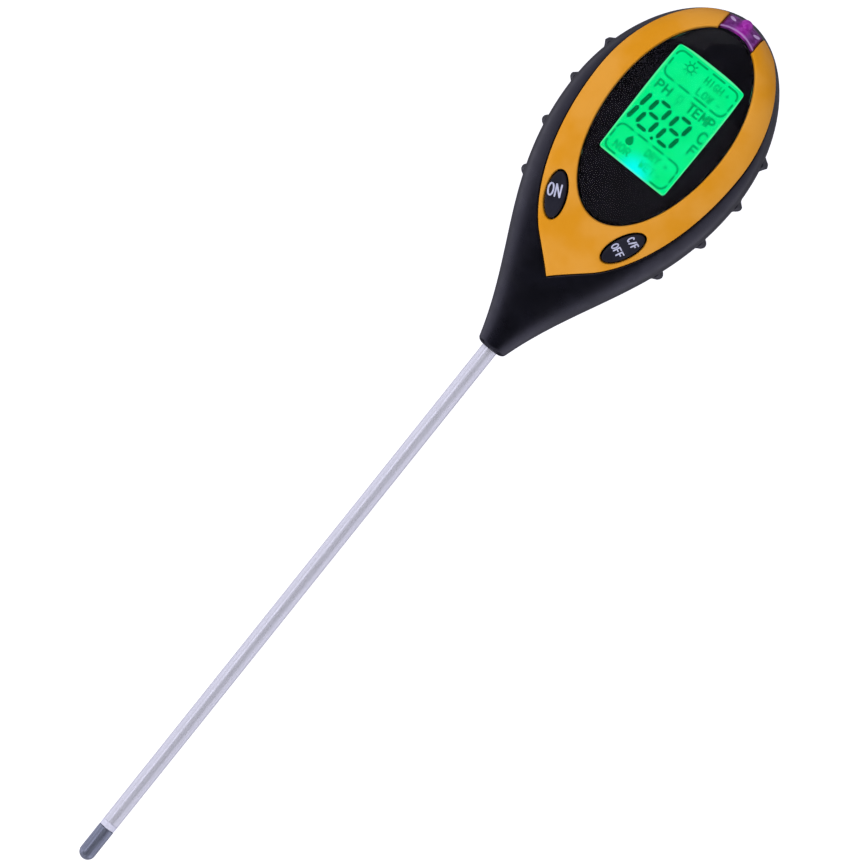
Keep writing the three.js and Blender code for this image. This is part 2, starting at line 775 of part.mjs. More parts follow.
const groundRoute = [
  [3.1, 0, collarTop + gap], [4.4, -0.4, tubeTop + 6], [7.4, wireY, wireTop - 6], [7.4, wireY - 0.1, wireTop],
];
place(probe, "probe_ground_wire", wire(groundRoute, 0.6, 20), blackWire);

const seal = new THREE.TorusGeometry(sealRadius, sealThickness, 8, 18);
seal.translate(0, 0, probeLength + sealHeight);
place(probe, "neck_seal", seal, sealBlack);

export default meter;
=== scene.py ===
"""A hand-held soil meter: shells, face, display, buttons, battery door and probe."""
import math

import bmesh
import bpy
import numpy as np
from mathutils import Matrix, Vector
from mathutils.geometry import delaunay_2d_cdt
from mathutils.kdtree import KDTree


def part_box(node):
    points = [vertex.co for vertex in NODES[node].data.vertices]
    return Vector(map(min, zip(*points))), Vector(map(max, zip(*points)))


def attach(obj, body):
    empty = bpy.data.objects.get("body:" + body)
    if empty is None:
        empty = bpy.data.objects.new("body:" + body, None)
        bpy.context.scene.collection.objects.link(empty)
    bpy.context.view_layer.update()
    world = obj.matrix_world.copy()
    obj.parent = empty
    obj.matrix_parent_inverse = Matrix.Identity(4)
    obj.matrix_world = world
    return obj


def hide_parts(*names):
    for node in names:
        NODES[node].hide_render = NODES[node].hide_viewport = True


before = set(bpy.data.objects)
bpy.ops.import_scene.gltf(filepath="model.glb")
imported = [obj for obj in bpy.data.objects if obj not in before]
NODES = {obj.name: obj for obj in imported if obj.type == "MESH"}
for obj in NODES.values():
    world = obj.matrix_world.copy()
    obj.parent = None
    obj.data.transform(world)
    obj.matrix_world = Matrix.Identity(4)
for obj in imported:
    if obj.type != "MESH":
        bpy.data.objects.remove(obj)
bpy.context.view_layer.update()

MM = 0.001
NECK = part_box("rear_shell")[0].z / MM  # the head's lower end, from which heights in the head are measured
METER = "meter"


# ---------------------------------------------------------------- camera and stage

def make_camera():
    """A long lens, turned so that the probe leans over to the right, as the meter is held in the hand."""
    turn, rise, lean = (math.radians(a) for a in (1.9, 6.0, 38.65))
    width, lens, sensor = 252.3, 1000.0, 36.0  # width of the frame at the object, in mm
    neck_right, neck_up = 17.13, 24.33  # from the middle of the frame to the head's lower end
    back = Vector((math.sin(turn) * math.cos(rise), -math.cos(turn) * math.cos(rise), math.sin(rise)))
    level = Vector((0, 0, 1)).cross(back).normalized()
    upright = back.cross(level)
    right = level * math.cos(lean) + upright * math.sin(lean)
    up = upright * math.cos(lean) - level * math.sin(lean)
    target = Vector((0, 0, NECK)) - right * neck_right - up * neck_up
    place = (target + back * (width * lens / sensor)) * MM
    camera = bpy.data.objects.new("camera", bpy.data.cameras.new("camera"))
    camera.data.lens = lens
    camera.data.sensor_width = sensor
    camera.data.clip_end = 100
    camera.matrix_world = Matrix.Translation(place) @ Matrix((right, up, back)).transposed().to_4x4()
    bpy.context.scene.collection.objects.link(camera)
    bpy.context.scene.camera = camera


make_camera()
bpy.context.scene.view_settings.view_transform = "Standard"


# ---------------------------------------------------------------- the head's form, in mm

GAP = 0.3
WIDEST = 78.0
CROWN = 44.0  # rise of the crown above the widest height
SIDE, FRONT, REAR = 30.3, 15.5, 22.0
BACK_FLAT = 20.4
ROUND = 2.0  # power of a round section
FRONT_SQUARE, REAR_SQUARE = 1.6, 0.6  # what the section's power grows by up to the grip
BORE = 2.8
NECK_CORNER = 1.2
SIDE_FLANK = ((0, 4.5), (28, 12.5), (45, SIDE), (WIDEST, SIDE))
FRONT_FLANK = ((0, 4.5), (24, 8.5), (32, FRONT), (66, FRONT))
REAR_FLANK = ((0, 4.5), (20, 8), (28, REAR), (70, REAR))
SIDE_POWER, FRONT_POWER, REAR_POWER = 1.95, 5.0, 3.6
RIB_HEIGHTS = (47.3, 62.3, 77.4, 91.5)
RIB_RADII = np.array((3.4, 6.5, 2.1))
RIB_SINK, RIB_Y = 1.8, 5.2
TURN = 26.0  # mm that one radian of turn counts as, in the flat map of the skin
FAR = 60.0  # further from the axis than any of the skin
BLEND = 0.5  # softness of the joins with the ribs and the flat back


def bezier(values, t):
    a, b, c, d = values
    s = 1 - t
    return a * s ** 3 + 3 * b * s * s * t + 3 * c * s * t * t + d * t ** 3


def flank_table(points):
    """Heights and values along a flank's curve."""
    heights, values = zip(*points)
    t = np.linspace(0, 1, 6000)
    return bezier(heights, t), bezier(values, t)


FLANKS = {"side": flank_table(SIDE_FLANK), "front": flank_table(FRONT_FLANK),
          "rear": flank_table(REAR_FLANK)}


def flank(name, height):
    return np.interp(height, *FLANKS[name])


def smooth(x, low, high):
    t = np.clip((x - low) / (high - low), 0, 1)
    return t * t * (3 - 2 * t)


def section(z, grow, rear):
    """Half width, depth and superellipse power of the head's section at a height."""
    low = np.clip(z, 0, WIDEST)
    corner = np.where(low < NECK_CORNER,
                      NECK_CORNER - np.sqrt(np.maximum(NECK_CORNER ** 2 - (NECK_CORNER - low) ** 2, 0)), 0)
    rise = np.clip((z - WIDEST) / (CROWN + grow), 0, 1)
    power = REAR_POWER if rear else FRONT_POWER
    side = (flank("side", low) + grow - corner) * (1 - rise ** SIDE_POWER) ** (1 / SIDE_POWER)
    depth = (flank("rear" if rear else "front", low) + grow - corner) * (1 - rise ** power) ** (1 / power)
    square = ROUND + smooth(low, 4, 46) * (REAR_SQUARE if rear else FRONT_SQUARE)
    return np.maximum(side, 1e-6), np.maximum(depth, 1e-6), square


def inside(x, y, z, grow, rear):
    side, depth, square = section(z, grow, rear)
    return (np.abs(x) / side) ** square + (np.abs(y) / depth) ** square < 1


def last_inside(within, low, high):
    """The largest values between low and high that are still within the form, by halving."""
    for _ in range(44):
        middle = (low + high) / 2
        hit = within(middle)
        low, high = np.where(hit, middle, low), np.where(hit, high, middle)
    return low


def climb(tilt):
    """Height on the flat map of a ray that leaves the widest level's middle at this tilt."""
    power = FRONT_POWER
    reach = ((np.cos(tilt) / FRONT) ** power + (np.sin(tilt) / CROWN) ** power) ** (-1 / power)
    return WIDEST + reach * np.sin(tilt) + FRONT - reach * np.cos(tilt)


TILTS = np.linspace(0, math.pi / 2, 3000)
CLIMBS = climb(TILTS)


def smooth_max(a, b, blend):
    t = np.clip(0.5 + 0.5 * (a - b) / blend, 0, 1)
    return b + (a - b) * t + blend * t * (1 - t)


def half_width(height):
    height = np.array([float(height)])
    return float(section(height, 0, False)[0][0])


def rib_reach(start_z, direction, grow):
    """How far a ray from the axis reaches in the grip ribs, and 0 where it misses them."""
    reach = np.zeros(len(start_z))
    for z in RIB_HEIGHTS:
        for side in (-1, 1):
            centre = np.array((side * (half_width(z) - RIB_SINK), RIB_Y, z))
            radii = RIB_RADII + grow[:, None]
            start = (np.stack([0 * start_z, 0 * start_z, start_z], 1) - centre) / radii
            along = direction / radii
            a = (along ** 2).sum(1)
            b = (start * along).sum(1)
            root = b * b - a * ((start ** 2).sum(1) - 1)
            hit = (-b + np.sqrt(np.maximum(root, 0))) / a
            reach = np.where((root > 0) & (hit > reach), hit, reach)
    return reach


def skin(flat, grow, rear, ribs):
    """The point of the skin, moved out by grow, for each (turn, climb) of the flat map."""
    turn, up = flat[:, 0] / TURN, flat[:, 1]
    grow = np.broadcast_to(np.asarray(grow, float), up.shape)
    tilt = np.where(up > WIDEST, np.interp(up, CLIMBS, TILTS), 0)
    way = np.stack([np.sin(turn) * np.cos(tilt), -np.cos(turn) * np.cos(tilt), np.sin(tilt)], 1)
    if rear:
        way[:, :2] *= -1
    start = np.clip(up, 0, WIDEST)

    def within(r):
        return inside(r * way[:, 0], r * way[:, 1], start + r * way[:, 2], grow, rear)

    reach = last_inside(within, 0.0, FAR)
    if ribs:
        bump = rib_reach(start, way, grow)
        reach = np.where(bump > 0, smooth_max(reach, bump, BLEND), reach)
    reach = reach + np.minimum(up, 0)
    points = way * reach[:, None]
    points[:, 2] += start
    if rear:
        limit = BACK_FLAT + grow
        points[:, 1] = -smooth_max(-points[:, 1], -limit, BLEND)
    points[:, 2] -= np.where(up < 0.0, np.minimum(grow, 0), 0)
    return points


def flat_map(points, rear):
    """The place of skin points on the flat map: (turn, climb), both in mm."""
    x, y, z = points.T
    sign = -1 if rear else 1
    turn = np.arctan2(sign * x, -sign * y)
    above = climb(np.arctan2(np.maximum(z - WIDEST, 0), np.hypot(x, y)))
    return np.stack([turn * TURN, np.where(z > WIDEST, above, z)], 1)


def face_point(x, z, rear=False):
    """The point of the skin in front of, or behind, (x, z)."""
    x, z = np.asarray(x, float), np.asarray(z, float)
    side, depth, square = section(z, 0.0, rear)
    y = depth * (1 - np.minimum(np.abs(x) / side, 1) ** square) ** (1 / square)
    if rear:
        y = -smooth_max(-y, -BACK_FLAT, BLEND)
    return np.stack([x, y if rear else -y, z], 1)


def crown_point(x, y):
    """The point of the crown above (x, y)."""
    x, y = np.broadcast_arrays(np.asarray(x, float), np.asarray(y, float))
    z = last_inside(lambda z: inside(x, y, z, 0.0, False), WIDEST, WIDEST + CROWN + 3)
    return np.stack([x, y, z], 1)


# ---------------------------------------------------------------- outlines on the face, in mm

def ellipse(cx, cz, across, rise, drop=None, lean=0.0, steps=160):
    angle = np.linspace(0, 2 * math.pi, steps, endpoint=False)
    x = across * np.cos(angle)
    z = np.where(np.sin(angle) > 0, rise, rise if drop is None else drop) * np.sin(angle)
    return np.stack([cx + x * math.cos(lean) - z * math.sin(lean),
                     cz + x * math.sin(lean) + z * math.cos(lean)], 1)


OVAL_CENTRE, OVAL_ACROSS, OVAL_RISE, OVAL_DROP = 86.0, 19.15, 32.4, 36.0
BEZEL_CENTRE, BEZEL_ACROSS, BEZEL_RISE, BEZEL_POINT, BEZEL_BACK = 85.8, 26.2, 36.4, 27.9, -3.5
LIGHT_HALF = 6.35
BUTTON_X, BUTTON_HEIGHT, BUTTON_ACROSS, BUTTON_ALONG = 12.6, 48.7, 3.15, 7.3
BUTTON_LEAN = math.radians(24.4)


def oval(grow):
    return ellipse(0, OVAL_CENTRE, OVAL_ACROSS + grow, OVAL_RISE + grow, OVAL_DROP + grow)


def button_outline(side, grow):
    return ellipse(side * BUTTON_X, BUTTON_HEIGHT, BUTTON_ACROSS + grow, BUTTON_ALONG + grow,
                   lean=-side * BUTTON_LEAN, steps=72)


def bezel_flank():
    """The right side of the bezel's edge, from the lower point up to its widest height."""
    turn_x, turn_z = 10.5, 37.8  # where the tip's curve meets the long side's
    t = np.linspace(0, 1, 60)
    tip = np.stack([bezier((0, 2.6, 7.8, turn_x), t), bezier((BEZEL_POINT, 30.8, 35.2, turn_z), t)], 1)
    long = np.stack([bezier((turn_x, 19, BEZEL_ACROSS, BEZEL_ACROSS), t),
                     bezier((turn_z, 46.7, 63.8, BEZEL_CENTRE), t)], 1)
    return np.concatenate([tip[:-1], long])


def bezel_crown(stop):
    """The right side of the bezel's edge over the crown, on the skin, from its widest height to x = stop."""
    angle = np.linspace(0, math.pi / 2, 260)[1:]
    x = BEZEL_ACROSS * np.cos(angle)
    z = BEZEL_CENTRE + BEZEL_RISE * np.sin(angle)
    keep = x > stop
    last = BEZEL_CENTRE + BEZEL_RISE * math.sqrt(1 - (stop / BEZEL_ACROSS) ** 2)
    x, z = np.append(x[keep], stop), np.append(z[keep], last)
    front = face_point(x, z)
    back = crown_point(x, BEZEL_BACK)
    over = (front[:, 1] > BEZEL_BACK) | (z >= back[:, 2])
    return np.where(over[:, None], back, front)


def bezel_right(stop):
    return np.concatenate([face_point(*bezel_flank().T), bezel_crown(stop)])


def mirrored(points):
    """The same points on the other side, in the opposite order."""
    return points[::-1] * np.array([-1, 1, 1])[:points.shape[1]]


def resampled(points, step):
    """The closed or open line through points, at even steps."""
    lengths = np.linalg.norm(np.diff(points, axis=0), axis=1)
    along = np.concatenate([[0], np.cumsum(lengths)])
    count = max(2, round(along[-1] / step) + 1)
    places = np.linspace(0, along[-1], count)
    return np.stack([np.interp(places, along, points[:, i]) for i in range(points.shape[1])], 1)


def joined(parts, step):
    """One closed loop from lines that meet end to end, with a point at every meeting."""
    return np.concatenate([resampled(part, step)[:-1] for part in parts])


def closed(outline, step):
    return resampled(np.concatenate([outline, outline[:1]]), step)[:-1]


def on_face(outline, step, rear=False):
    return closed(face_point(outline[:, 0], outline[:, 1], rear), step)


def bezel_edge(step):
    """The bezel's whole edge, on the skin."""
    right = bezel_right(0.0)
    return joined([right, mirrored(right)], step)


def slot_line(x, grow):
    """Down the face beside the light window, from its edge behind the crown to the oval window."""
    back = crown_point(x, np.linspace(BEZEL_BACK, -9, 12))
    across, rise = OVAL_ACROSS + grow, OVAL_RISE + grow
    low = OVAL_CENTRE + rise * math.sqrt(1 - (x / across) ** 2)
    heights = np.linspace(back[-1, 2], low, 12)[1:]
    return np.concatenate([back, face_point(np.full_like(heights, x), heights)])


def oval_arc(x, grow, over):
    """Along the oval window from x to -x: over its top, or all the way round below."""
    across = OVAL_ACROSS + grow
    start = math.acos(x / across)
    angle = np.linspace(start, math.pi - start, 40) if over else np.linspace(start, -math.pi - start, 260)
    rise = np.where(np.sin(angle) > 0, OVAL_RISE, OVAL_DROP) + grow
    return face_point(across * np.cos(angle), OVAL_CENTRE + rise * np.sin(angle))


def bezel_ring(step):
    """The C-shaped edge of the bezel: outside, down the light window's slot and round the oval window."""
    right = bezel_right(LIGHT_HALF)
    cut = slot_line(LIGHT_HALF, 0)
    return joined([right, cut, oval_arc(LIGHT_HALF, 0, False), mirrored(cut), mirrored(right)], step)


def light_ring(step):
    """The edge of the light window's strip: up the right, back over the crown and down the left."""
    half = LIGHT_HALF - GAP
    cut = slot_line(half, GAP)
    across = np.linspace(half, -half, 24)
    top = crown_point(across, BEZEL_BACK)
    return joined([cut[::-1], top, cut * np.array([-1, 1, 1]), oval_arc(half, GAP, True)[::-1]], step)


def seam(offset, step, rear):
    """The edge of one shell: up the seam's right side, over the crown, down, and round the neck's end."""
    y = offset if rear else -offset
    heights = np.concatenate([np.linspace(0, NECK_CORNER, 12)[:-1], np.linspace(NECK_CORNER, WIDEST, 160)])
    side, depth, square = section(heights, 0.0, rear)
    x = side * (1 - (offset / depth) ** square) ** (1 / square)
    up = np.stack([x, np.full_like(x, y), heights], 1)
    angles = np.linspace(0, math.pi / 2, 120)[1:]
    level = np.full_like(angles, y)

    def arch(r):
        return r * np.cos(angles), level, WIDEST + r * np.sin(angles)

    over = np.stack(arch(last_inside(lambda r: inside(*arch(r), 0.0, rear), 0.0, FAR)), 1)
    right = np.concatenate([up, over])
    end = math.acos(offset / x[0])
    turn = np.linspace(-end, end, 24)
    way = 1 if rear else -1
    bottom = np.stack([x[0] * np.sin(turn), way * x[0] * np.cos(turn), np.zeros_like(turn)], 1)
    return joined([right, mirrored(right), bottom], step)


# ---------------------------------------------------------------- making meshes

def smoothed(mesh, sharp):
    mesh.polygons.foreach_set("use_smooth", np.ones(len(mesh.polygons), bool))
    mesh.set_sharp_from_angle(angle=math.radians(sharp))


def linked(name, data):
    """A new object in the scene."""
    piece = bpy.data.objects.new(name, data)
    bpy.context.scene.collection.objects.link(piece)
    return piece


def new_object(name, points, faces, height=None, sharp=42):
    """A smooth mesh from points in mm, whose heights are measured from the head's lower end."""
    place = np.asarray(points, float) + np.array((0, 0, NECK if height is None else height))
    mesh = bpy.data.meshes.new(name)
    mesh.from_pydata((place * MM).tolist(), [], [list(map(int, face)) for face in faces])
    smoothed(mesh, sharp)
    return linked(name, mesh)


def even_odd(points, loops):
    """Whether each 2D point lies inside the loops, where a loop inside another is a hole."""
    result = np.zeros(len(points), bool)
    for loop in loops:
        a, b = loop, np.roll(loop, -1, axis=0)
        for start in range(0, len(points), 4000):
            x, z = points[start:start + 4000, 0:1], points[start:start + 4000, 1:2]
            crosses = (a[:, 1] > z) != (b[:, 1] > z)
            rise = np.where(b[:, 1] == a[:, 1], 1, b[:, 1] - a[:, 1])
            left = x < a[:, 0] + (z - a[:, 1]) * (b[:, 0] - a[:, 0]) / rise
            result[start:start + 4000] ^= (crosses & left).sum(1) % 2 == 1
    return result


def single(points):
    """Rounded to single precision, which the triangulation works in."""
    return points.astype(np.float32).astype(float)


def signed_area(loop):
    return 0.5 * np.sum(loop[:, 0] * np.roll(loop[:, 1], -1) - np.roll(loop[:, 0], -1) * loop[:, 1])


def triangulated(vertices, edges, loops):
    """Constrained triangles inside the loops: flat points, triangles, and where each given vertex went."""
    result = delaunay_2d_cdt([Vector(v) for v in vertices], edges, [], 0, 1e-6)
    flat = np.array([tuple(v) for v in result[0]])
    triangles = np.array([f for f in result[2] if len(f) == 3])
    middles = flat[triangles].mean(1)
    triangles = triangles[even_odd(middles, loops)]
    a, b, c = flat[triangles[:, 0]], flat[triangles[:, 1]], flat[triangles[:, 2]]
    turned = np.cross(b - a, c - a) < 0
    triangles[turned] = triangles[turned][:, ::-1]
    went = np.full(len(vertices), -1)
    origin = np.full(len(flat), -1)
    for i, sources in enumerate(result[3]):
        for source in sources:
            went[source] = i
            origin[i] = source
    return flat, triangles, went, origin


def unit(vectors):
    return vectors / np.linalg.norm(vectors, axis=-1, keepdims=True)


def ring_edges(first, count):
    """The pairs of neighbours round a closed ring of points."""
    return [(first + i, first + (i + 1) % count) for i in range(count)]


class Skin:
    """One side of the head's skin, with the tools that plates on it need."""

    def __init__(self, rear=False, ribs=False):
        self.rear, self.ribs = rear, ribs

    def point(self, flat, grow):
        """Skin points moved by grow: square to the skin, but along the rays at the neck and by the ribs."""
        if np.ndim(grow) == 0 and grow == 0:
            return skin(flat, 0.0, self.rear, self.ribs)
        rays = skin(flat, grow, self.rear, self.ribs)
        base = skin(flat, 0.0, self.rear, self.ribs)
        square = base + self.outward(flat) * np.broadcast_to(grow, len(flat))[:, None]
        share = smooth(base[:, 2], 8, 20) * (smooth(base[:, 1], 12.0, 14.5) if self.rear else 1.0)
        return rays + (square - rays) * share[:, None]

    def outward(self, flat):
        """The skin's unit normals."""
        step = 0.03
        across = self.point(flat + (step, 0), 0.0) - self.point(flat - (step, 0), 0.0)
        up = self.point(flat + (0, step), 0.0) - self.point(flat - (0, step), 0.0)
        return unit(np.cross(across, up))

    def flat(self, points):
        return flat_map(points, self.rear)

    def inset(self, loop, distance):
        """The flat loop moved to its left, along the skin, by a distance in mm."""
        points = self.point(loop, 0.0)
        along = np.roll(points, -1, axis=0) - np.roll(points, 1, axis=0)
        return self.flat(points + unit(np.cross(self.outward(loop), along)) * distance)

    def grid(self, loops, spacing, away_from):
        """Flat points inside the loops, even in 3D, closer at the neck and clear of the given points."""
        tree = kd_tree(away_from)
        low, high = loops[0].min(0), loops[0].max(0)
        rows, steps = [], []
        up = low[1] + 0.2
        while up < high[1]:
            step = spacing * (0.35 if up < NECK_CORNER + 1 else 0.6 if up < 14 else 1)
            turns = np.linspace(low[0], high[0], 400)
            line = self.point(np.stack([turns, np.full_like(turns, up)], 1), 0.0)
            length = np.linalg.norm(np.diff(line, axis=0), axis=1)
            along = np.concatenate([[0], np.cumsum(length)])
            count = max(2, int(along[-1] / step))
            places = (np.arange(count) + 0.5 * (len(rows) % 2)) / count * along[-1]
            rows.append(np.stack([np.interp(places, along, turns), np.full(count, up)], 1))
            steps.append(np.full(count, step))
            up += step * 0.87
        flat, steps = np.concatenate(rows), np.concatenate(steps)
        within = even_odd(flat, loops)
        flat, steps = flat[within], steps[within]
        points = self.point(flat, 0.0)
        clear = np.array([tree.find(p)[2] > step * 0.55 for p, step in zip(points, steps)])
        return flat[clear]


def kd_tree(points):
    tree = KDTree(len(points))
    for i, p in enumerate(points):
        tree.insert(p, i)
    tree.balance()
    return tree


def plate(name, side, loops, top, bottom, edge=0.3, spacing=0.9, relief=None, lines=(), bore=0.0,
          round_steps=4):
    """A closed plate that follows the skin between two growths, with its outer edges rounded.

    loops are closed 3D lines on the skin: the outer edge, then any holes. lines are (loop, growth) pairs of
    further creases, and relief gives the extra growth of skin points away from them."""
    flats = []
    for i, loop in enumerate(loops):
        flat = side.flat(loop)
        if (signed_area(flat) > 0) != (i == 0):
            flat = flat[::-1]
        flats.append(single(flat))
    vertices, growths, edges = [], [], []

    def add(loop, growth):
        first = sum(len(v) for v in vertices)
        vertices.append(single(loop))
        growths.append(np.broadcast_to(growth, len(loop)).astype(float))
        edges.extend(ring_edges(first, len(loop)))
        return first

    starts = []
    for flat in flats:
        for k in range(round_steps + 1):
            angle = math.pi / 2 * k / round_steps
            ring = side.inset(flat, edge * (1 - math.cos(angle))) if k else flat
            extra = relief(side.point(ring, 0.0)) if relief else 0.0
            first = add(ring, top - edge * (1 - math.sin(angle)) + extra)
            if k == 0:
                starts.append(first)
    for line, growth in lines:
        add(side.flat(line), growth)
    fixed = side.point(np.concatenate(vertices), 0.0)
    grid = side.grid(flats, spacing, fixed)
    extra = relief(side.point(grid, 0.0)) if relief else 0.0
    vertices.append(single(grid))
    growths.append(np.broadcast_to(top + extra, len(grid)).astype(float))
    flat, triangles, went, origin = triangulated(np.concatenate(vertices), edges, flats)
    growth = np.where(origin >= 0, np.concatenate(growths)[origin], top)
    upper = side.point(flat, growth)

    rims = np.concatenate(flats)
    rim_edges, first = [], 0
    for loop in flats:
        rim_edges.extend(ring_edges(first, len(loop)))
        first += len(loop)
    sparse = side.grid(flats, spacing * 2.5, side.point(rims, 0.0))
    low_flat, low_triangles, low_went, _ = triangulated(np.concatenate([rims, sparse]), rim_edges, flats)
    lower = side.point(low_flat, bottom)
    if bore:
        reach = np.linalg.norm(lower[:, :2], axis=1)
        lower[:, :2] *= (np.maximum(reach, bore) / np.maximum(reach, 1e-6))[:, None]

    used_top, used_low = np.unique(triangles), np.unique(low_triangles)
    top_index, low_index = np.full(len(flat), -1), np.full(len(low_flat), -1)
    top_index[used_top] = np.arange(len(used_top))
    low_index[used_low] = np.arange(len(used_low)) + len(used_top)
    faces = [tuple(t) for t in top_index[triangles]]
    faces += [tuple(t) for t in low_index[low_triangles][:, ::-1]]
    first = 0
    for start, loop in zip(starts, flats):
        for i, j in ring_edges(0, len(loop)):
            a, d = top_index[went[start + i]], top_index[went[start + j]]
            b, c = low_index[low_went[first + i]], low_index[low_went[first + j]]
            faces.append((a, b, c, d))
        first += len(loop)
    return new_object(name, np.concatenate([upper[used_top], lower[used_low]]), faces)


def lathe(name, profile, sides, centre=None):
    """A turned piece from (radius, place) pairs, which end on the axis, or close on themselves.

    It stands on the ground, as the probe does, or lies along y about a centre (x, z) in the head."""
    turn = 2 * math.pi * np.arange(sides) / sides
    points, index, faces = [], [], []
    for radius, place in profile:
        if radius < 1e-9:
            index.append([len(points)] * sides)
            points.append((0, 0, place))
        else:
            index.append(list(range(len(points), len(points) + sides)))
            points.extend(zip(radius * np.cos(turn), radius * np.sin(turn), [place] * sides))
    hollow = profile[0][0] > 1e-9
    for k in range(len(profile) if hollow else len(profile) - 1):
        a, b = index[k], index[(k + 1) % len(profile)]
        for i, j in ring_edges(0, sides):
            face = [a[i], a[j], b[j], b[i]]
            face = [v for n, v in enumerate(face) if v not in face[:n]]
            if len(face) > 2:
                faces.append(face)
    points = np.array(points, float)
    if centre is None:
        return new_object(name, points, faces, 0, 35)
    lying = points[:, (0, 2, 1)] + (centre[0], 0, centre[1])
    return new_object(name, lying, [face[::-1] for face in faces], sharp=35)


def bevelled(piece, width, segments=3):
    """Rounds every edge of a boxy piece."""
    mesh = bmesh.new()
    mesh.from_mesh(piece.data)
    bmesh.ops.bevel(mesh, geom=list(mesh.edges), offset=width * MM, segments=segments, profile=0.5,
                    affect="EDGES")
    bmesh.ops.recalc_face_normals(mesh, faces=mesh.faces)
    mesh.to_mesh(piece.data)
    mesh.free()
    smoothed(piece.data, 35)
    return piece


def slab(name, x, y, z, bevel):
    """A box with rounded edges."""
    corners = [(a, b, c) for c in z for b in y for a in x]
    faces = [(0, 2, 3, 1), (4, 5, 7, 6), (0, 1, 5, 4), (2, 6, 7, 3), (0, 4, 6, 2), (1, 3, 7, 5)]
    return bevelled(new_object(name, corners, faces), bevel)


def merged(name, pieces):
    """One object from several."""
    mesh = bmesh.new()
    for piece in pieces:
        mesh.from_mesh(piece.data)
        bpy.data.objects.remove(piece)
    data = bpy.data.meshes.new(name)
    mesh.to_mesh(data)
    mesh.free()
    data.set_sharp_from_angle(angle=math.radians(40))
    return linked(name, data)


def finished(piece, look, body=METER):
    """Gives a piece its material and body, and hides the frame's node of its name, if there is one."""
    piece.data.materials.clear()
    piece.data.materials.append(look)
    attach(piece, body)
    name = piece.name.split(".")[0]
    if name in NODES:
        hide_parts(name)
    return piece


# ---------------------------------------------------------------- materials

def srgb(red, green, blue):
    """A colour as it looks on screen, from 0 to 255, in linear light."""
    values = [v / 255 for v in (red, green, blue)]
    return tuple(v / 12.92 if v <= 0.04045 else ((v + 0.055) / 1.055) ** 2.4 for v in values) + (1.0,)


class Nodes:
    """Shader nodes under construction."""

    def __init__(self, tree):
        self.nodes, self.links = tree.nodes, tree.links

    def node(self, kind, **inputs):
        node = self.nodes.new("ShaderNode" + kind)
        for name, value in inputs.items():
            self.feed(node.inputs[name.replace("_", " ")], value)
        return node

    def feed(self, socket, value):
        if isinstance(value, bpy.types.NodeSocket):
            self.links.new(value, socket)
        else:
            socket.default_value = value

    def spread(self, value, low, high, to_low=0.0, to_high=1.0):
        node = self.node("MapRange")
        for socket, amount in zip(node.inputs[:5], (value, low, high, to_low, to_high)):
            self.feed(socket, amount)
        node.interpolation_type = "SMOOTHSTEP"
        return node.outputs[0]

    def maths(self, kind, total, *others):
        """One operation, or a chain of it over several values."""
        for other in others or (0.0,):
            node = self.nodes.new("ShaderNodeMath")
            node.operation = kind
            self.feed(node.inputs[0], total)
            self.feed(node.inputs[1], other)
            total = node.outputs[0]
        return total

    def away(self, value, middle, radius=1.0):
        """The square of the distance from a middle in mm, counted in radii."""
        apart = self.maths("SUBTRACT", value, middle * MM)
        return self.maths("POWER", self.maths("DIVIDE", apart, radius * MM), 2.0)


class Look(Nodes):
    """A material: one Principled shader, fed by textures in the object's own coordinates."""

    def __init__(self, name, **sockets):
        self.material = bpy.data.materials.new(name)
        self.material.use_nodes = True
        super().__init__(self.material.node_tree)
        self.shader = self.nodes["Principled BSDF"]
        for socket, value in sockets.items():
            self.shader.inputs[socket.replace("_", " ")].default_value = value
        self.place = self.nodes.new("ShaderNodeTexCoord").outputs["Object"]

    def noise(self, size, detail=3.0, stretch=(1, 1, 1), roughness=0.5):
        """Noise whose features are about size mm across."""
        mapping = self.node("Mapping", Vector=self.place)
        mapping.inputs["Scale"].default_value = [s / (size * MM) for s in stretch]
        return self.node("TexNoise", Vector=mapping.outputs[0], Scale=1.0, Detail=detail,
                         Roughness=roughness).outputs["Fac"]

    def blend(self, factor, a, b):
        """From colour a to colour b, where a plain colour is given as it looks on screen."""
        node = self.nodes.new("ShaderNodeMix")
        node.data_type = "RGBA"
        self.feed(node.inputs[0], factor)
        for socket, colour in zip(node.inputs[6:8], (a, b)):
            self.feed(socket, srgb(*colour) if isinstance(colour, tuple) else colour)
        return node.outputs[2]

    def clouds(self, size, dark, light, detail=3.0, stretch=(1, 1, 1), low=0.35, high=0.65):
        """Slow changes between two colours."""
        return self.blend(self.spread(self.noise(size, detail, stretch), low, high), dark, light)

    def axes(self):
        return self.node("SeparateXYZ", Vector=self.place).outputs

    def into(self, socket, value):
        self.feed(self.shader.inputs[socket], value)

    def bump(self, height, depth, strength=1.0, under=None):
        """Bump from a height texture, depth mm from its lowest to its highest."""
        node = self.node("Bump", Height=height, Strength=strength, Distance=depth * MM)
        if under is not None:
            self.feed(node.inputs["Normal"], under)
        return node.outputs[0]


def moulded(name, dark, light, rough, grain=0.18, depth=0.006, cloud=9.0, **sockets):
    """Moulded plastic or rubber: slow clouds of colour, patches of gloss and a fine moulded grain."""
    look = Look(name, **sockets)
    look.into("Base Color", look.clouds(cloud, dark, light))
    look.into("Roughness", look.spread(look.noise(cloud * 0.4, 4.0), 0.3, 0.7, rough - 0.06, rough + 0.06))
    fine = look.bump(look.noise(grain, 2.0), depth)
    look.into("Normal", look.bump(look.noise(cloud * 1.6, 1.0), depth * 4, 0.5, fine))
    return look.material


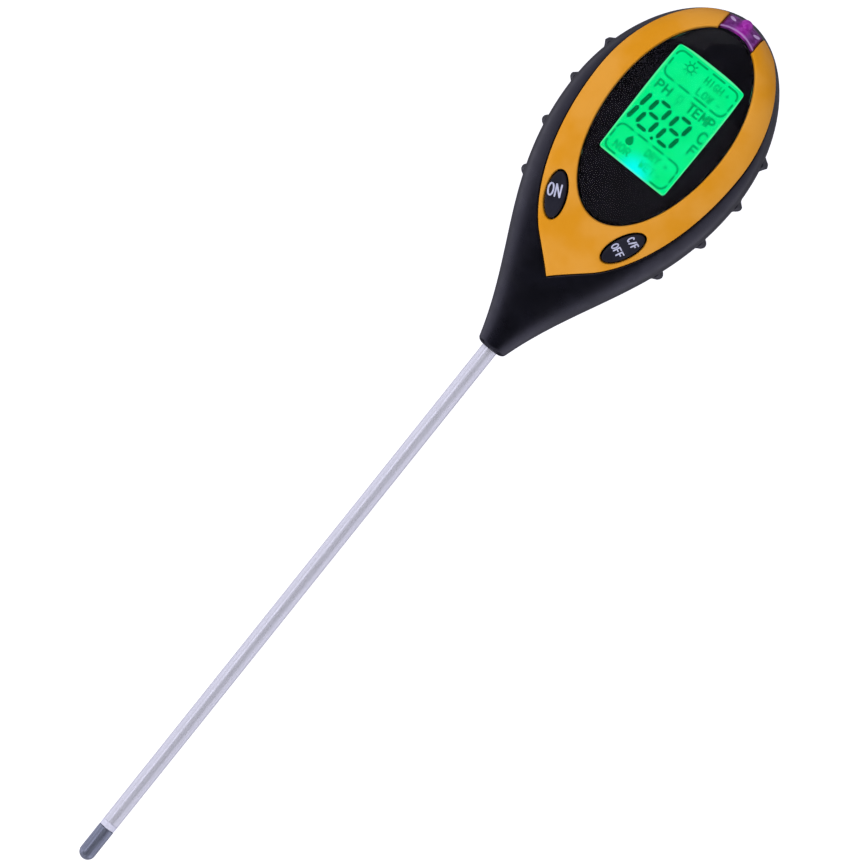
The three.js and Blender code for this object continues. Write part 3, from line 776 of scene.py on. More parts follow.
def drawn_metal(name, dark, light, rough, streak=0.35, depth=0.004, length=40.0, metallic=1.0):
    """Drawn or turned metal: fine streaks along the part's height, with faint wear marks."""
    look = Look(name, Metallic=metallic)
    streaks = look.noise(streak, 4.0, (1, 1, streak / length), 0.6)
    marks = look.noise(2.2, 5.0, (1, 1, 0.35), 0.7)
    base = look.blend(look.spread(streaks, 0.3, 0.7), dark, light)
    look.into("Base Color", look.blend(look.spread(marks, 0.58, 0.7, 0.0, 0.35), base, dark))
    look.into("Roughness", look.spread(marks, 0.35, 0.7, rough - 0.05, rough + 0.12))
    look.into("Normal", look.bump(look.noise(0.25, 2.0), depth, 0.6, look.bump(streaks, depth)))
    return look.material


def display_look():
    """Lit display glass: green, with a cyan glow over the lamp at its lower edge and a pale rim."""
    look = Look("display_green", Base_Color=srgb(0, 40, 20), Roughness=0.6, Emission_Strength=1.0,
                Specular_IOR_Level=0.0)
    x, _, z = look.axes()[:3]
    from_lamp = look.maths("SQRT", look.maths("ADD", look.away(x, LAMP_X), look.away(z, NECK + LCD_LOW)))
    glow = look.spread(from_lamp, 1.0, 7.2, 1.0, 0.0)
    green = look.clouds(6.0, (0, 233, 130), (2, 240, 141), 2.0, low=0.3, high=0.7)
    middle_x, middle_z, half_wide, half_tall, _ = DISPLAY
    from_side = look.maths("SUBTRACT", half_wide, look.maths("SQRT", look.away(x, middle_x)))
    from_end = look.maths("SUBTRACT", half_tall, look.maths("SQRT", look.away(z, NECK + middle_z)))
    rim = look.spread(look.maths("MINIMUM", from_side, from_end), 0.1, 0.45, 0.35, 0.0)
    look.into("Emission Color", look.blend(rim, look.blend(glow, green, (0, 252, 240)), (130, 242, 180)))
    return look.material


def lit_mark(name, colour, other):
    """A display segment: it glows faintly with the backlight behind it."""
    look = Look(name, Base_Color=srgb(0, 24, 12), Roughness=0.6, Emission_Strength=1.0,
                Specular_IOR_Level=0.0)
    look.into("Emission Color", look.clouds(1.2, colour, other))
    return look.material


def lens_look():
    """Clear, very slightly wavy plastic."""
    look = Look("window_clear", Base_Color=(1, 1, 1, 1), IOR=1.12, Transmission_Weight=1.0)
    look.into("Roughness", look.spread(look.noise(5.0, 3.0), 0.4, 0.7, 0.0, 0.02))
    look.into("Normal", look.bump(look.noise(14.0, 1.0), 0.002, 0.3))
    return look.material


def light_window_look():
    """Tinted plastic: purple, magenta over the sensor, with a painted highlight along the lip and painted
    glints over the two pockets.
    """
    look = Look("light_window_purple", Roughness=0.25, IOR=1.4, Transmission_Weight=0.05,
                Specular_IOR_Level=0.04)
    x, _, z = look.axes()[:3]
    beside = look.maths("ABSOLUTE", x)
    clouds = look.spread(look.noise(1.6, 4.0), 0.35, 0.65)
    body = look.blend(look.spread(beside, 1.0 * MM, 2.8 * MM, 1.0, 0.0),
                      look.blend(clouds, (92, 32, 100), (128, 62, 138)),
                      look.blend(clouds, (150, 34, 152), (176, 66, 178)))
    body = look.blend(look.spread(beside, 5.4 * MM, 5.7 * MM), body, (96, 18, 62))
    # Painted highlight: a pale band along the raised lip by the oval window, where its edge catches the
    # light.
    ring = look.maths("ADD", look.away(x, 0, OVAL_ACROSS), look.away(z, NECK + OVAL_CENTRE, OVAL_RISE))
    lip = look.maths("MULTIPLY", look.spread(ring, 1.022, 1.028),
                     look.spread(ring, 1.052, 1.062, 1.0, 0.0), 0.7)
    body = look.blend(lip, body, (180, 138, 192))
    # Painted glints: pale patches over the two shallow pockets, standing in for light caught in them.
    pocket_glint = look.maths("ADD", look.away(beside, POCKET[0], 1.05), look.away(z, NECK + POCKET[1], 0.3))
    look.into("Base Color", look.blend(look.spread(pocket_glint, 0.8, 1.25, 1.0, 0.0), body, (204, 168, 214)))
    look.into("Normal", look.bump(look.noise(0.6, 3.0), 0.03, 0.5))
    return look.material


def board_look():
    """Green solder mask with copper tracks under it."""
    look = Look("board_green", Roughness=0.35)
    x, _, z = look.axes()[:3]
    across = look.node("CombineXYZ", X=x, Y=z, Z=0.0).outputs[0]
    brick = look.node("TexBrick", Vector=across, Color1=srgb(18, 92, 48), Color2=srgb(16, 82, 44),
                      Mortar=srgb(52, 128, 70), Scale=260, Mortar_Size=0.035)
    look.into("Base Color", brick.outputs["Color"])
    look.into("Normal", look.bump(brick.outputs["Fac"], 0.03, 0.5, look.bump(look.noise(0.3), 0.004)))
    return look.material


def battery_look():
    """A plain printed jacket: dark blue with a copper-coloured band at the terminal end."""
    look = Look("battery_jacket", Metallic=0.55)
    band = look.spread(look.axes()[2], (NECK + 82.0) * MM, (NECK + 82.3) * MM)
    fold = look.spread(look.noise(2.5, 4.0, (1, 1, 0.2)), 0.35, 0.65)
    blue = look.blend(fold, (34, 46, 78), (48, 62, 98))
    copper = look.blend(fold, (168, 104, 58), (190, 126, 74))
    look.into("Base Color", look.blend(band, blue, copper))
    look.into("Roughness", look.spread(look.noise(3.0), 0.3, 0.7, 0.25, 0.42))
    look.into("Normal", look.bump(look.noise(1.5, 3.0), 0.02))
    return look.material


def white_floor_look():
    """A white sheet that glows a little, so that it stays white around the part."""
    look = Look("studio_floor", Roughness=0.9, Emission_Color=(1, 1, 1, 1), Emission_Strength=0.64)
    look.into("Base Color", look.blend(look.noise(60.0, 2.0), (238.6, 238.6, 238.6), (243.5, 243.5, 243.5)))
    return look.material


# ---------------------------------------------------------------- the shells and the face

front, rear, ribbed = Skin(), Skin(rear=True), Skin(rear=True, ribs=True)
SHELL_WALL = 2.2
BEZEL_PROUD, BEZEL_SEAT = 0.3, -1.6
BUTTON_GAP = 0.3
SEAM = 0.03
SHELL_SCREWS = ((-18.6, 103.5), (18.6, 103.5), (-12.5, 38.0), (12.5, 38.0))
WELL_RADIUS, WELL_FLOOR = 2.7, 6.2
DOOR = (14.6, 49.6, 104.4, 2.5)  # half width, bottom, top and corner radius
DISPLAY = (0.2, 86.8, 12.1, 19.15, 1.0)  # middle, centre height, half width, half height, corner radius
LCD_LOW = DISPLAY[1] - DISPLAY[3]
LAMP_X = 0.6
# POCKET also places the glints painted over the pockets in the light window's material.
POCKET = (4.3, 120.8)  # across and height of the light window's pockets

shell_black = moulded("shell_black", (8, 8, 14), (13, 13, 22), 0.32, grain=0.22, depth=0.004,
                      Specular_IOR_Level=0.5, Specular_Tint=(0.84, 0.82, 1.0, 1))
cap_black = moulded("button_black", (31, 31, 40), (39, 39, 49), 0.42, grain=0.15, depth=0.003,
                    Specular_IOR_Level=0.06)
trim_yellow = moulded("trim_yellow", (212, 141, 22), (218, 152, 54), 0.5, grain=0.2, depth=0.003,
                      cloud=16.0, Specular_IOR_Level=0.08)


def rounded_rectangle(low_x, high_x, low_z, high_z, radius):
    corners = ((high_x, high_z, 0), (low_x, high_z, 1), (low_x, low_z, 2), (high_x, low_z, 3))
    points = []
    for x, z, quarter in corners:
        inner_x = x - radius if x == high_x else x + radius
        inner_z = z - radius if z == high_z else z + radius
        for angle in np.linspace(0, math.pi / 2, 9) + quarter * math.pi / 2:
            points.append((inner_x + radius * math.cos(angle), inner_z + radius * math.sin(angle)))
    return np.array(points)


def beneath(outline, grow, step):
    """The closed line on the skin that, moved by grow, lies on the outline as seen from in front."""
    moved = outline
    for _ in range(3):
        points = face_point(moved[:, 0], moved[:, 1])
        moved = outline - front.outward(front.flat(points))[:, (0, 2)] * grow
    return closed(face_point(moved[:, 0], moved[:, 1]), step)


def door_outline(grow):
    half, low, high, radius = DOOR
    return rounded_rectangle(-half - grow, half + grow, low - grow, high + grow, radius + grow)


def make_front_shell():
    lip = 0.35  # radius of the rounded step round the bezel
    creases, loop = [], front.inset(front.flat(bezel_edge(0.5)), -GAP)
    for k in range(4):
        angle = math.pi / 2 * k / 3
        moved = front.inset(loop, -lip * (1 - math.cos(angle))) if k else loop
        creases.append((front.point(moved, 0.0), -lip * (1 - math.sin(angle))))
    creases.append((front.point(front.inset(loop, 0.04), 0.0), BEZEL_SEAT))

    def sunk(points):
        return np.where(even_odd(front.flat(points), [loop]), BEZEL_SEAT, 0.0)

    holes = [on_face(oval(-0.1), 0.7)] + [on_face(button_outline(s, BUTTON_GAP), 0.45) for s in (-1, 1)]
    shell = plate("front_shell", front, [seam(SEAM, 0.6, False)] + holes, 0.0, -SHELL_WALL, edge=0.35,
                  spacing=0.95, relief=sunk, lines=creases, bore=BORE)
    finished(shell, shell_black)


def make_rear_shell():
    holes = [on_face(door_outline(GAP), 0.5, True)]
    for x, z in SHELL_SCREWS:
        holes.append(on_face(ellipse(x, z, WELL_RADIUS, WELL_RADIUS, steps=48), 0.35, True))
    shell = plate("rear_shell", ribbed, [seam(SEAM, 0.5, True)] + holes, 0.0, -SHELL_WALL, edge=0.35,
                  spacing=0.72, bore=BORE)
    finished(shell, shell_black)
    outer, pilot, base = 3.4, 1.45, WELL_FLOOR - 1.6
    for i, (x, z) in enumerate(SHELL_SCREWS):
        ring = ellipse(x, z, 3.3, 3.3, steps=24)
        brim = float(face_point(ring[:, 0], ring[:, 1], True)[:, 1].min()) - 0.5  # under the skin all round
        profile = [(pilot, base), (outer, base), (outer, brim), (WELL_RADIUS, brim),
                   (WELL_RADIUS, WELL_FLOOR), (pilot, WELL_FLOOR)]
        finished(lathe(f"screw_well_{i + 1}", profile[::-1], 48, (x, z)), shell_black)


def make_bezel():
    holes = [on_face(button_outline(side, BUTTON_GAP), 0.4) for side in (-1, 1)]
    bezel = plate("face_bezel", front, [bezel_ring(0.5)] + holes, BEZEL_PROUD, BEZEL_SEAT + GAP, edge=0.4,
                  spacing=0.85)
    finished(bezel, trim_yellow)


def make_light_window():
    dome_middle, dome_radii = np.array((0, -7.6, 121.2)), np.array((2.1, 3.2, 2.0))
    lip_width, sunk = 0.75, -0.3
    window = oval(GAP)
    look = light_window_look()

    def relief(points):
        """A raised lip along the oval window, and two shallow pockets."""
        near = np.linalg.norm(points[:, None, (0, 2)] - window, axis=2).min(1)
        lip = sunk * smooth(near, lip_width, lip_width + 0.35)
        pockets = np.zeros(len(points))
        for x in (-POCKET[0], POCKET[0]):
            span = np.hypot((points[:, 0] - x) / 1.3, (points[:, 2] - POCKET[1]) / 0.6)
            pockets = np.minimum(pockets, sunk * (1 - smooth(span, 0.75, 1.0)))
        return lip + pockets

    strip = plate("light_window", front, [light_ring(0.3)], BEZEL_PROUD, BEZEL_SEAT + GAP, edge=0.25,
                  spacing=0.32, relief=relief)
    finished(strip, look)
    ball = bmesh.new()
    bmesh.ops.create_uvsphere(ball, u_segments=40, v_segments=24, radius=1.0)
    ball.verts.index_update()
    points = [np.array(vertex.co) * dome_radii + dome_middle for vertex in ball.verts]
    dome = new_object("light_dome", points, [[v.index for v in face.verts] for face in ball.faces])
    ball.free()
    finished(dome, look)


def make_window():
    edge = on_face(oval(-GAP), 0.6)
    lens_top, lens_low, mask_top, mask_low = -0.15, -1.7, -2.0, -2.5
    lens = plate("window_lens", front, [edge], lens_top, lens_low, edge=0.25, spacing=1.2)
    finished(lens, lens_look())
    x, z, across, rise, corner = DISPLAY
    hole = rounded_rectangle(x - across, x + across, z - rise, z + rise, corner)
    ink = moulded("mask_black", (16, 15, 20), (20, 19, 25), 0.7, depth=0.002, Specular_IOR_Level=0.02)
    mask = plate("window_mask", front, [edge, beneath(hole, mask_top, 0.6)], mask_top, mask_low, edge=0.05,
                 spacing=1.5, round_steps=1)
    finished(mask, ink)


# ---------------------------------------------------------------- marks and letters

def extruded(name, outlines, top, back, wrap=None):
    """Marks standing up from a surface: each outline, seen from in front, becomes a thin closed body."""
    points, faces = [], []
    for outline in outlines:
        outline = np.asarray(outline, float)
        if signed_area(outline) < 0:
            outline = outline[::-1]
        first, count = len(points), len(outline)
        points.extend((x, top, z) for x, z in outline)
        points.extend((x, back, z) for x, z in outline)
        faces.append(range(first, first + count))
        faces.append(range(first + 2 * count - 1, first + count - 1, -1))
        faces.extend((i, count + i, count + j, j) for i, j in ring_edges(first, count))
    points = np.array(points)
    return new_object(name, wrap(points) if wrap else points, faces)


def stroke(points, width):
    """The outline of a round-ended stroke along an open line."""
    points = np.asarray(points, float)
    along = unit(np.gradient(points, axis=0))
    left = np.stack([-along[:, 1], along[:, 0]], 1) * width / 2
    turn = np.linspace(-math.pi / 2, math.pi / 2, 7)[1:-1]

    def cap(middle, way):
        side = np.array((-way[1], way[0]))
        return [middle + (way * math.cos(a) + side * math.sin(a)) * width / 2 for a in turn]

    return np.array(list(points - left) + cap(points[-1], along[-1]) + list((points + left)[::-1])
                    + cap(points[0], -along[0]))


def arc(x, z, radius, start, end, steps=10, squeeze=1.0):
    angle = np.radians(np.linspace(start, end, steps))
    return np.stack([x + radius * squeeze * np.cos(angle), z + radius * np.sin(angle)], 1)


BOWL = np.concatenate([[(0, 1)], arc(0.25, 0.73, 0.27, 90, -90, 10, 1.2), [(0, 0.46)]])
LETTERS = {  # strokes in a box 0.6 wide and 1 tall
    "C": [arc(0.3, 0.5, 0.5, 50, 310, 16, 0.6)],
    "D": [[(0, 0), (0, 1)], np.concatenate([[(0, 1)], arc(0.15, 0.5, 0.5, 90, -90, 12, 0.9), [(0, 0)]])],
    "E": [[(0.55, 0), (0, 0), (0, 1), (0.55, 1)], [(0, 0.5), (0.45, 0.5)]],
    "F": [[(0, 0), (0, 1), (0.55, 1)], [(0, 0.52), (0.45, 0.52)]],
    "G": [np.concatenate([arc(0.3, 0.5, 0.5, 50, 350, 18, 0.6), [(0.35, 0.45)]])],
    "H": [[(0, 0), (0, 1)], [(0.6, 0), (0.6, 1)], [(0, 0.5), (0.6, 0.5)]],
    "I": [[(0.3, 0), (0.3, 1)]],
    "L": [[(0, 1), (0, 0), (0.5, 0)]],
    "M": [[(0, 0), (0, 1), (0.3, 0.35), (0.6, 1), (0.6, 0)]],
    "N": [[(0, 0), (0, 1), (0.6, 0), (0.6, 1)]],
    "O": [arc(0.3, 0.5, 0.5, 90, 449, 24, 0.6)],
    "P": [[(0, 0), (0, 1)], BOWL],
    "R": [[(0, 0), (0, 1)], BOWL, [(0.25, 0.46), (0.58, 0)]],
    "T": [[(0, 1), (0.6, 1)], [(0.3, 1), (0.3, 0)]],
    "W": [[(0, 1), (0.15, 0), (0.3, 0.7), (0.45, 0), (0.6, 1)]],
    "Y": [[(0, 1), (0.3, 0.5), (0.6, 1)], [(0.3, 0.5), (0.3, 0)]],
    "+": [[(0.1, 0.5), (0.5, 0.5)], [(0.3, 0.3), (0.3, 0.7)]],
    "-": [[(0.1, 0.5), (0.5, 0.5)]],
    "/": [[(0.05, 0), (0.5, 1)]],
}


def mitred(points, width):
    """The outline of a stroke along a line with corners: one round-ended body for each straight run."""
    points = np.asarray(points, float)
    if len(points) > 5:
        return [stroke(points, width)]
    return [stroke(points[i:i + 2], width) for i in range(len(points) - 1)]


def words(text, x, z, width, height, pen, turn=0.0):
    """Stroke outlines of text, width x height mm about its middle (x, z), turned about it."""
    pitch = 0.88
    total = pitch * len(text) - (pitch - 0.6)
    outlines = []
    for n, letter in enumerate(text):
        for line in LETTERS[letter]:
            line = np.asarray(line, float) + (n * pitch, 0)
            flat = (line - (total / 2, 0.5)) * (width / total, height)
            turned = np.stack([flat[:, 0] * math.cos(turn) - flat[:, 1] * math.sin(turn) + x,
                               flat[:, 0] * math.sin(turn) + flat[:, 1] * math.cos(turn) + z], 1)
            outlines.extend(mitred(turned, pen))
    return outlines


# ---------------------------------------------------------------- buttons

BUTTON_PROUD, BUTTON_LOW, BUTTON_DISH = 0.9, -3.1, 0.22


def make_button(side, body, marks):
    centre = np.array((side * BUTTON_X, BUTTON_HEIGHT))
    turn = -side * BUTTON_LEAN

    def dished(points):
        x, z = points[:, 0] - centre[0], points[:, 2] - centre[1]
        across = (x * math.cos(turn) + z * math.sin(turn)) / BUTTON_ACROSS
        along = (z * math.cos(turn) - x * math.sin(turn)) / BUTTON_ALONG
        return -BUTTON_DISH * (1 - smooth(np.hypot(across, along), 0.0, 1.0))

    cap = plate(body, front, [on_face(button_outline(side, -0.3), 0.3)], BUTTON_PROUD, BUTTON_LOW, edge=0.7,
                spacing=0.4, relief=dished, round_steps=6)
    finished(cap, cap_black, body)
    outlines = []
    for text, right, up, width, height, pen in marks:
        outlines += words(text, centre[0] + right, centre[1] + up, width, height, pen, turn)

    def on_cap(points):
        base = face_point(points[:, 0], points[:, 2])
        grow = BUTTON_PROUD + dished(base) + np.where(points[:, 1] < 0, 0.04, -0.2)
        return front.point(front.flat(base), grow)

    ink = moulded("button_ink", (176, 178, 204), (190, 192, 214), 0.5, depth=0.004, cloud=1.0)
    letters = extruded(body + "_marks", outlines, -1, 1, on_cap)
    finished(letters, ink, body)


# ---------------------------------------------------------------- display

LCD_FRONT, LCD_BACK = -11.0, -9.4


def at_display(points):
    """From mm about the display's middle to the head's mm."""
    return [np.asarray(p, float) + (DISPLAY[0], DISPLAY[1]) for p in points]


def dashed_frame(low_x, high_x, low_z, high_z, long_right, long_left, dashes, side_dash, bottom=True):
    """A rounded frame drawn as corner pieces with dashes between them."""
    radius = 2.0
    lines = []
    for x, sign, reach in ((high_x, 1, long_right), (low_x, -1, long_left)):
        for z, way in ((high_z, 1), (low_z, -1)):
            start = {(1, 1): 0, (1, -1): 360}.get((sign, way), 180)
            bend = arc(x - sign * radius, z - way * radius, radius, start, 180 - way * 90, 8)
            lines.append(np.concatenate([bend, [(reach, z)]]))
    for low, high in dashes:
        lines.append([(low, high_z), (high, high_z)])
        if bottom:
            lines.append([(low, low_z), (high, low_z)])
    for x in (low_x, high_x):
        lines.append([(x, side_dash[0]), (x, side_dash[1])])
    return [stroke(line, 0.6) for line in lines]


def segment(start, end, width):
    """A display segment: a bar with pointed ends."""
    start, end = np.array(start), np.array(end)
    along = unit(end - start)
    left = np.array((-along[1], along[0])) * width / 2
    tip = along * width / 2
    return np.array([start, start + tip - left, end - tip - left, end, end - tip + left,
                     start + tip + left])


def digit(x, z, lit, over=0.0):
    """A slanted seven-segment digit about 4.6 mm wide and 9.6 mm tall, its upright bars longer by over."""
    wide, tall, slant = 4.7, 4.93, 0.15
    low, high = 0.1 - over, 0.94 + over

    def at(u, v):
        return (x + (u - 0.5) * wide + slant * v * tall, z + v * tall)

    bars = {
        "a": (at(0.12, 1), at(0.88, 1)), "g": (at(0.12, 0), at(0.88, 0)), "d": (at(0.12, -1), at(0.88, -1)),
        "f": (at(0, high), at(0, low)), "b": (at(1, high), at(1, low)),
        "e": (at(0, -low), at(0, -high)), "c": (at(1, -low), at(1, -high)),
    }
    widths = {"a": 1.1, "g": 1.15, "d": 1.1}
    return [segment(*bars[name], widths.get(name, 1.35)) for name in lit]


def make_display():
    half, low, high = 13.2, 62.6, 107.3
    glass = slab("lcd_glass", (-half, half), (LCD_FRONT, LCD_BACK), (low, high), 0.15)
    finished(glass, display_look())

    dark = digit(-4.85, -2.6, "abcdefg") + digit(2.7, -2.6, "abcdefg") + digit(-12.45, -2.7, "bc", 0.08)
    dark.append(arc(-1.35, -8.05, 0.52, 0, 345, 12))
    middling = dashed_frame(-11.0, 11.1, 9.05, 17.9, 7.0, -6.9, ((-4.6, -1.1), (1.2, 5.3)), (12.2, 14.2))
    middling += dashed_frame(-11.3, 10.7, -18.3, -9.6, 6.4, -7.0, ((-4.9, -1.7), (0.6, 4.1)), (-14.8, -12.7),
                             bottom=False)
    middling += words("PH", -7.8, 5.8, 4.6, 2.6, 0.66) + words("TEMP", 5.9, 5.95, 9.0, 2.8, 0.66)
    middling += words("C", 10.3, 1.2, 2.2, 3.4, 0.66) + words("F", 10.3, -3.6, 1.7, 3.0, 0.62)
    sun = (-5.05, 15.0)
    middling.append(stroke(arc(*sun, 1.05, 0, 350, 20), 0.4))
    for angle in np.radians(range(0, 360, 45)):
        way = np.array((math.cos(angle), math.sin(angle)))
        middling.append(stroke([way * 1.5 + sun, way * 2.05 + sun], 0.36))
    drop = np.concatenate([arc(-5.85, -12.8, 1.2, 140, 400, 18), [(-5.85, -10.8)]])
    faint = words("HIGH", 3.5, 15.2, 6.0, 2.1, 0.52) + words("+", 8.4, 15.2, 1.1, 2.1, 0.42)
    faint += words("LOW", 3.1, 11.3, 5.0, 2.1, 0.55) + words("-", 8.0, 11.3, 1.1, 2.1, 0.42)
    faint += words("NOR", -6.3, -15.7, 5.2, 2.2, 0.5) + words("DRY", 2.4, -12.2, 4.6, 2.1, 0.5)
    faint += words("+", 7.1, -12.2, 1.1, 2.1, 0.42)
    faint += mitred([(-1.2, 7.1), (-2.5, 7.1), (-2.7, 5.1), (-1.3, 5.1), (-1.1, 6.8)], 0.3)
    faint.append(stroke([(-2.0, 4.9), (-2.2, 3.7)], 0.5))
    faintest = words("WET", 3.1, -15.9, 5.0, 2.0, 0.42) + words("+", 7.1, -15.9, 1.1, 2.1, 0.42)
    layers = (
        ("display_digits", dark, 0.08, lit_mark("digit_green", (0, 104, 56), (0, 116, 64))),
        ("display_drop", [drop], 0.07, lit_mark("drop_green", (0, 136, 72), (0, 146, 78))),
        ("display_frames", middling, 0.06, lit_mark("frame_green", (0, 164, 88), (0, 178, 98))),
        ("display_legends", faint, 0.05, lit_mark("legend_green", (0, 192, 104), (2, 206, 114))),
        ("display_unlit", faintest, 0.04, lit_mark("unlit_green", (0, 216, 122), (2, 226, 132))),
    )
    for name, outlines, proud, look in layers:
        marks = extruded(name, at_display(outlines), LCD_FRONT - proud, LCD_FRONT + 0.1)
        finished(marks, look)


# ---------------------------------------------------------------- back of the head

def make_door():
    groove_heights, groove_depth = (95.5, 97.9, 100.3), 0.5

    def grooves(points):
        """Three finger grooves near the top."""
        across = 1 - smooth(np.abs(points[:, 0]), 6.4, 7.1)
        cuts = [across * (1 - smooth(np.abs(points[:, 2] - z), 0.25, 0.75)) for z in groove_heights]
        return -groove_depth * np.max(cuts, axis=0)

    lid_low, inner_face = -1.6, 18.75
    lid = plate("lid", rear, [on_face(door_outline(0), 0.45, True)], 0.0, lid_low, edge=0.3, spacing=0.45,
                relief=grooves)
    parts = [lid, slab("tongue", (-4, 4), (15.8, inner_face), (102.5, 103.4), 0.15)]
    for x in ((-11.5, -6.5), (6.5, 11.5)):
        parts.append(slab("arm", x, (17.0, inner_face), (49.9, 51.2), 0.15))
        parts.append(slab("toe", x, (17.0, 18.1), (47.9, 50.0), 0.15))
    finished(merged("battery_door", parts), shell_black, "battery_door")

    pad = slab("battery_foam_pad", (-9, 9), (18.0, 18.5), (58, 92), 0.18)
    foam = Look("foam_grey", Roughness=0.95)
    cells = foam.node("TexVoronoi", Vector=foam.place, Scale=2600.0).outputs["Distance"]
    foam.into("Base Color", foam.blend(cells, (40, 40, 44), (78, 78, 84)))
    foam.into("Normal", foam.bump(cells, 0.12))
    finished(pad, foam.material, "battery_door")


def make_bay():
    """The battery's bay: an open box behind the door's opening, with a rim that the door rests on."""
    rest = 18.2  # the plane of the rim
    outer = (15.3, -1.0, 49.4, 105.0)  # half width, floor, bottom and top
    inner = (13.8, 0.2, 50.6, 103.8)
    points, faces = [], [(0, 1, 2, 3), (11, 10, 9, 8)]
    for half, floor, low, high in (outer, inner):
        points += [(x, y, z) for y in (floor, rest)
                   for x, z in ((-half, low), (half, low), (half, high), (-half, high))]
    for i in range(4):
        j = (i + 1) % 4
        faces += [(i, i + 4, j + 4, j), (i + 8, j + 8, j + 12, i + 12), (i + 4, i + 12, j + 12, j + 4)]
    bay = bevelled(new_object("battery_bay", points, faces), 0.15, 2)
    finished(bay, shell_black)


def make_screws():
    """Pan-head screws with cross recesses at the bottom of their wells."""
    steel = drawn_metal("screw_steel", (120, 120, 126), (170, 170, 176), 0.3, streak=0.2, length=2.0)
    head, core, crest = 2.4, 0.9, 1.15  # radii
    tip, seat, rim, top = -6.5, 6.5, 7.2, 8.0  # places along y
    profile = [(0, tip), (0.7, tip)]
    for k in range(12):
        y = tip + 1 + k
        profile += [(core, y), (crest, y + 0.35), (core, y + 0.7)]
    profile += [(crest, seat), (head, seat)]
    profile += [(head * math.cos(a), rim + (top - rim) * math.sin(a))
                for a in np.linspace(0, math.pi / 2 - 0.05, 8)]
    profile.append((0, top))
    for i, (x, z) in enumerate(SHELL_SCREWS):
        screw = lathe(f"shell_screw_{i + 1}", profile, 40, (x, z))
        cross = merged("cross", [
            slab("cutter", (x - wide, x + wide), (7.1, 9.0), (z - tall, z + tall), 0.05)
            for wide, tall in ((0.32, 1.3), (1.3, 0.32))])
        cut = screw.modifiers.new("recess", "BOOLEAN")
        cut.operation, cut.solver, cut.use_self, cut.object = "DIFFERENCE", "EXACT", True, cross
        bpy.context.view_layer.update()
        shown = screw.evaluated_get(bpy.context.evaluated_depsgraph_get())
        screw.data = bpy.data.meshes.new_from_object(shown)
        screw.modifiers.clear()
        screw.data.set_sharp_from_angle(angle=math.radians(35))
        bpy.data.objects.remove(cross)
        finished(screw, steel)


# ---------------------------------------------------------------- probe

PROBE_RADIUS, PROBE_BORE = 2.5, 1.7
ELECTRODE_LENGTH, INSULATOR_LENGTH = 11.4, 1.7


def make_probe():
    tube_low = ELECTRODE_LENGTH + INSULATOR_LENGTH + GAP
    tube_high = NECK + 20
    break_edge = 0.12
    inset = PROBE_RADIUS - break_edge
    tube = [(PROBE_BORE, tube_low), (inset, tube_low), (PROBE_RADIUS, tube_low + break_edge),
            (PROBE_RADIUS, tube_high - break_edge), (inset, tube_high), (PROBE_BORE, tube_high)]
    aluminium = drawn_metal("tube_aluminium", (212, 212, 222), (225, 225, 235), 0.28,
                            depth=0.002, length=60.0, metallic=0.4)
    finished(lathe("probe_tube", tube, 72), aluminium)

    ring_low, ring_high = ELECTRODE_LENGTH + GAP / 2, tube_low - 0.02
    spigot, spigot_top = 1.0, 20.0
    sleeve = PROBE_BORE - 0.2
    ring = [(spigot + 0.2, ring_low), (PROBE_RADIUS - 0.1, ring_low), (PROBE_RADIUS, ring_low + 0.1),
            (PROBE_RADIUS, ring_high - 0.05), (PROBE_RADIUS - 0.05, ring_high), (sleeve, ring_high),
            (sleeve, spigot_top), (spigot + 0.2, spigot_top)]
    pale = moulded("insulator_pale", (208, 208, 224), (220, 220, 236), 0.4, cloud=1.5, depth=0.004)
    finished(lathe("tip_insulator", ring, 72), pale)

    tip = [(0, 0)]
    for angle in np.linspace(0, math.pi / 2, 14)[1:]:
        tip.append((PROBE_RADIUS * math.sin(angle), PROBE_RADIUS * (1 - math.cos(angle))))
    tip += [(PROBE_RADIUS, ELECTRODE_LENGTH - 0.1), (PROBE_RADIUS - 0.1, ELECTRODE_LENGTH),
            (spigot, ELECTRODE_LENGTH), (spigot, spigot_top), (0, spigot_top)]
    grey = drawn_metal("electrode_grey", (116, 121, 138), (146, 152, 170), 0.26, streak=0.5,
                       depth=0.002, length=12.0, metallic=0.6)
    finished(lathe("electrode_tip", tip, 72), grey)


# ---------------------------------------------------------------- inner nodes that stay as they are

def dress_nodes():
    """Materials for the frame's own pieces inside the head and the probe."""
    plastics = (  # name, dark, light, roughness, size of the clouds, nodes
        ("white_plastic", (224, 224, 218), (236, 236, 232), 0.45, 4.0,
         "lcd_tray backlight_diffuser backlight_led on_plunger off_plunger"),
        ("chip_black", (14, 14, 16), (26, 26, 30), 0.4, 2.0,
         "controller_chip on_switch off_switch battery_connector"),
        ("strip_grey", (76, 78, 84), (96, 98, 104), 0.8, 0.6, "lcd_connector"),
        ("seal_black", (12, 12, 12), (24, 24, 24), 0.7, 1.0, "neck_seal"),
        ("wire_red", (160, 22, 20), (184, 36, 30), 0.45, 1.5, "battery_lead_red"),
        ("wire_black", (16, 16, 18), (30, 30, 32), 0.45, 1.5,
         "battery_lead_black temperature_sensor probe_ground_wire"),
        ("wire_white", (214, 214, 208), (230, 230, 226), 0.45, 1.5, "probe_core_wire"),
    )
    looks = [(moulded(name, dark, light, rough, cloud=cloud), nodes)
             for name, dark, light, rough, cloud, nodes in plastics]
    looks += [
        (moulded("sensor_resin", (168, 60, 170), (190, 90, 190), 0.12, cloud=1.5, Transmission_Weight=0.3),
         "light_sensor"),
        (drawn_metal("plated_steel", (150, 150, 156), (196, 196, 200), 0.28, streak=0.2, length=3.0),
         "battery_terminal_positive battery_terminal_negative board_screw_1 board_screw_2 board_screw_3"),
        (drawn_metal("collar_brass", (176, 138, 72), (206, 168, 98), 0.3, streak=0.2, length=3.0),
         "probe_collar"),
        (battery_look(), "battery_9v"),
        (board_look(), "main_board"),
    ]
    for look, names in looks:
        for name in names.split():
            NODES[name].data.materials.clear()
            NODES[name].data.materials.append(look)


# ---------------------------------------------------------------- floor and light

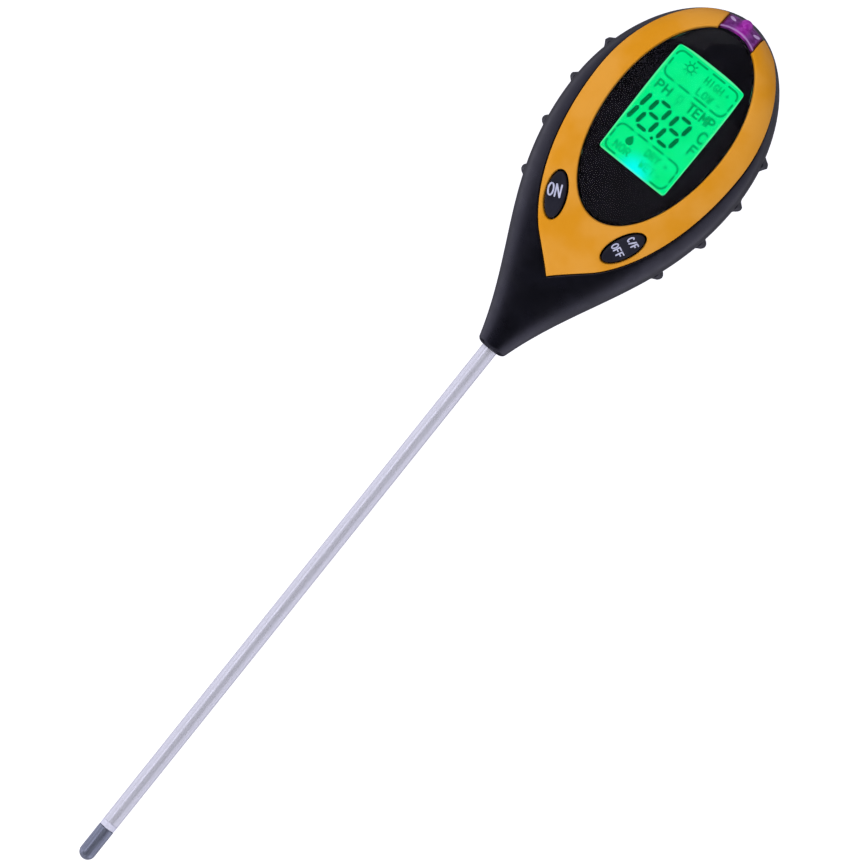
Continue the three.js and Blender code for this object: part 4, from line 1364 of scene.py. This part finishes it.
def make_stage():
    mesh = bmesh.new()
    bmesh.ops.create_circle(mesh, cap_ends=True, segments=96, radius=40.0)
    floor = linked("floor", bpy.data.meshes.new("floor"))
    mesh.to_mesh(floor.data)
    mesh.free()
    floor.location.z = -0.002
    floor.data.materials.append(white_floor_look())
    floor.visible_glossy = False


def make_world():
    """A pale room, bright beside and behind, and dark in front but for a soft upright light on the left."""
    world = bpy.data.worlds.new("studio")
    bpy.context.scene.world = world
    world.use_nodes = True
    sky = Nodes(world.node_tree)
    x, y, z = sky.node("SeparateXYZ", Vector=sky.node("TexCoord").outputs["Generated"]).outputs
    behind = sky.maths("MULTIPLY", sky.spread(y, -0.8, -0.1, 0.05, 0.4), sky.spread(y, 0.72, 0.9, 1.0, 0.4))
    beside = sky.maths("MULTIPLY", sky.spread(sky.maths("ABSOLUTE", x), 0.6, 0.85),
                       sky.spread(z, -0.5, 0.25, 0.85, 0.12))
    above = sky.spread(z, 0.3, 0.9, 0.0, 0.4)
    streak = sky.maths("MULTIPLY", sky.spread(x, -0.76, -0.6), sky.spread(x, -0.5, -0.34, 1.0, 0.0),
                       sky.spread(y, -0.7, -0.5, 1.6, 0.0), sky.spread(z, -0.45, -0.2))
    sky.feed(sky.nodes["Background"].inputs["Strength"], sky.maths("ADD", behind, beside, above, streak))
    sky.nodes["Background"].inputs["Color"].default_value = (0.9, 0.89, 1.04, 1)


def make_key():
    """One large soft lamp from the upper left, which the gloss doesn't show."""
    lamp = bpy.data.lights.new("key", "AREA")
    lamp.shape = "RECTANGLE"
    lamp.size, lamp.size_y = 0.9, 0.9
    lamp.energy = 7.5
    holder = linked("key", lamp)
    aim = Vector((0, 0, (NECK + 60) * MM))
    holder.location = Vector((-0.5, -1.3, 0.9))
    holder.rotation_euler = (holder.location - aim).to_track_quat("Z", "Y").to_euler()
    holder.visible_glossy = False


make_front_shell()
make_rear_shell()
make_bezel()
make_light_window()
make_window()
make_display()
make_button(-1, "on_button", (("ON", -1.0, 0.95, 3.7, 3.6, 0.48),))
make_button(1, "off_button", (("C/F", 1.2, 3.1, 3.1, 2.1, 0.4), ("OFF", -0.9, -1.4, 4.0, 2.1, 0.4)))
make_door()
make_bay()
make_screws()
make_probe()
dress_nodes()
make_stage()
make_world()
make_key()
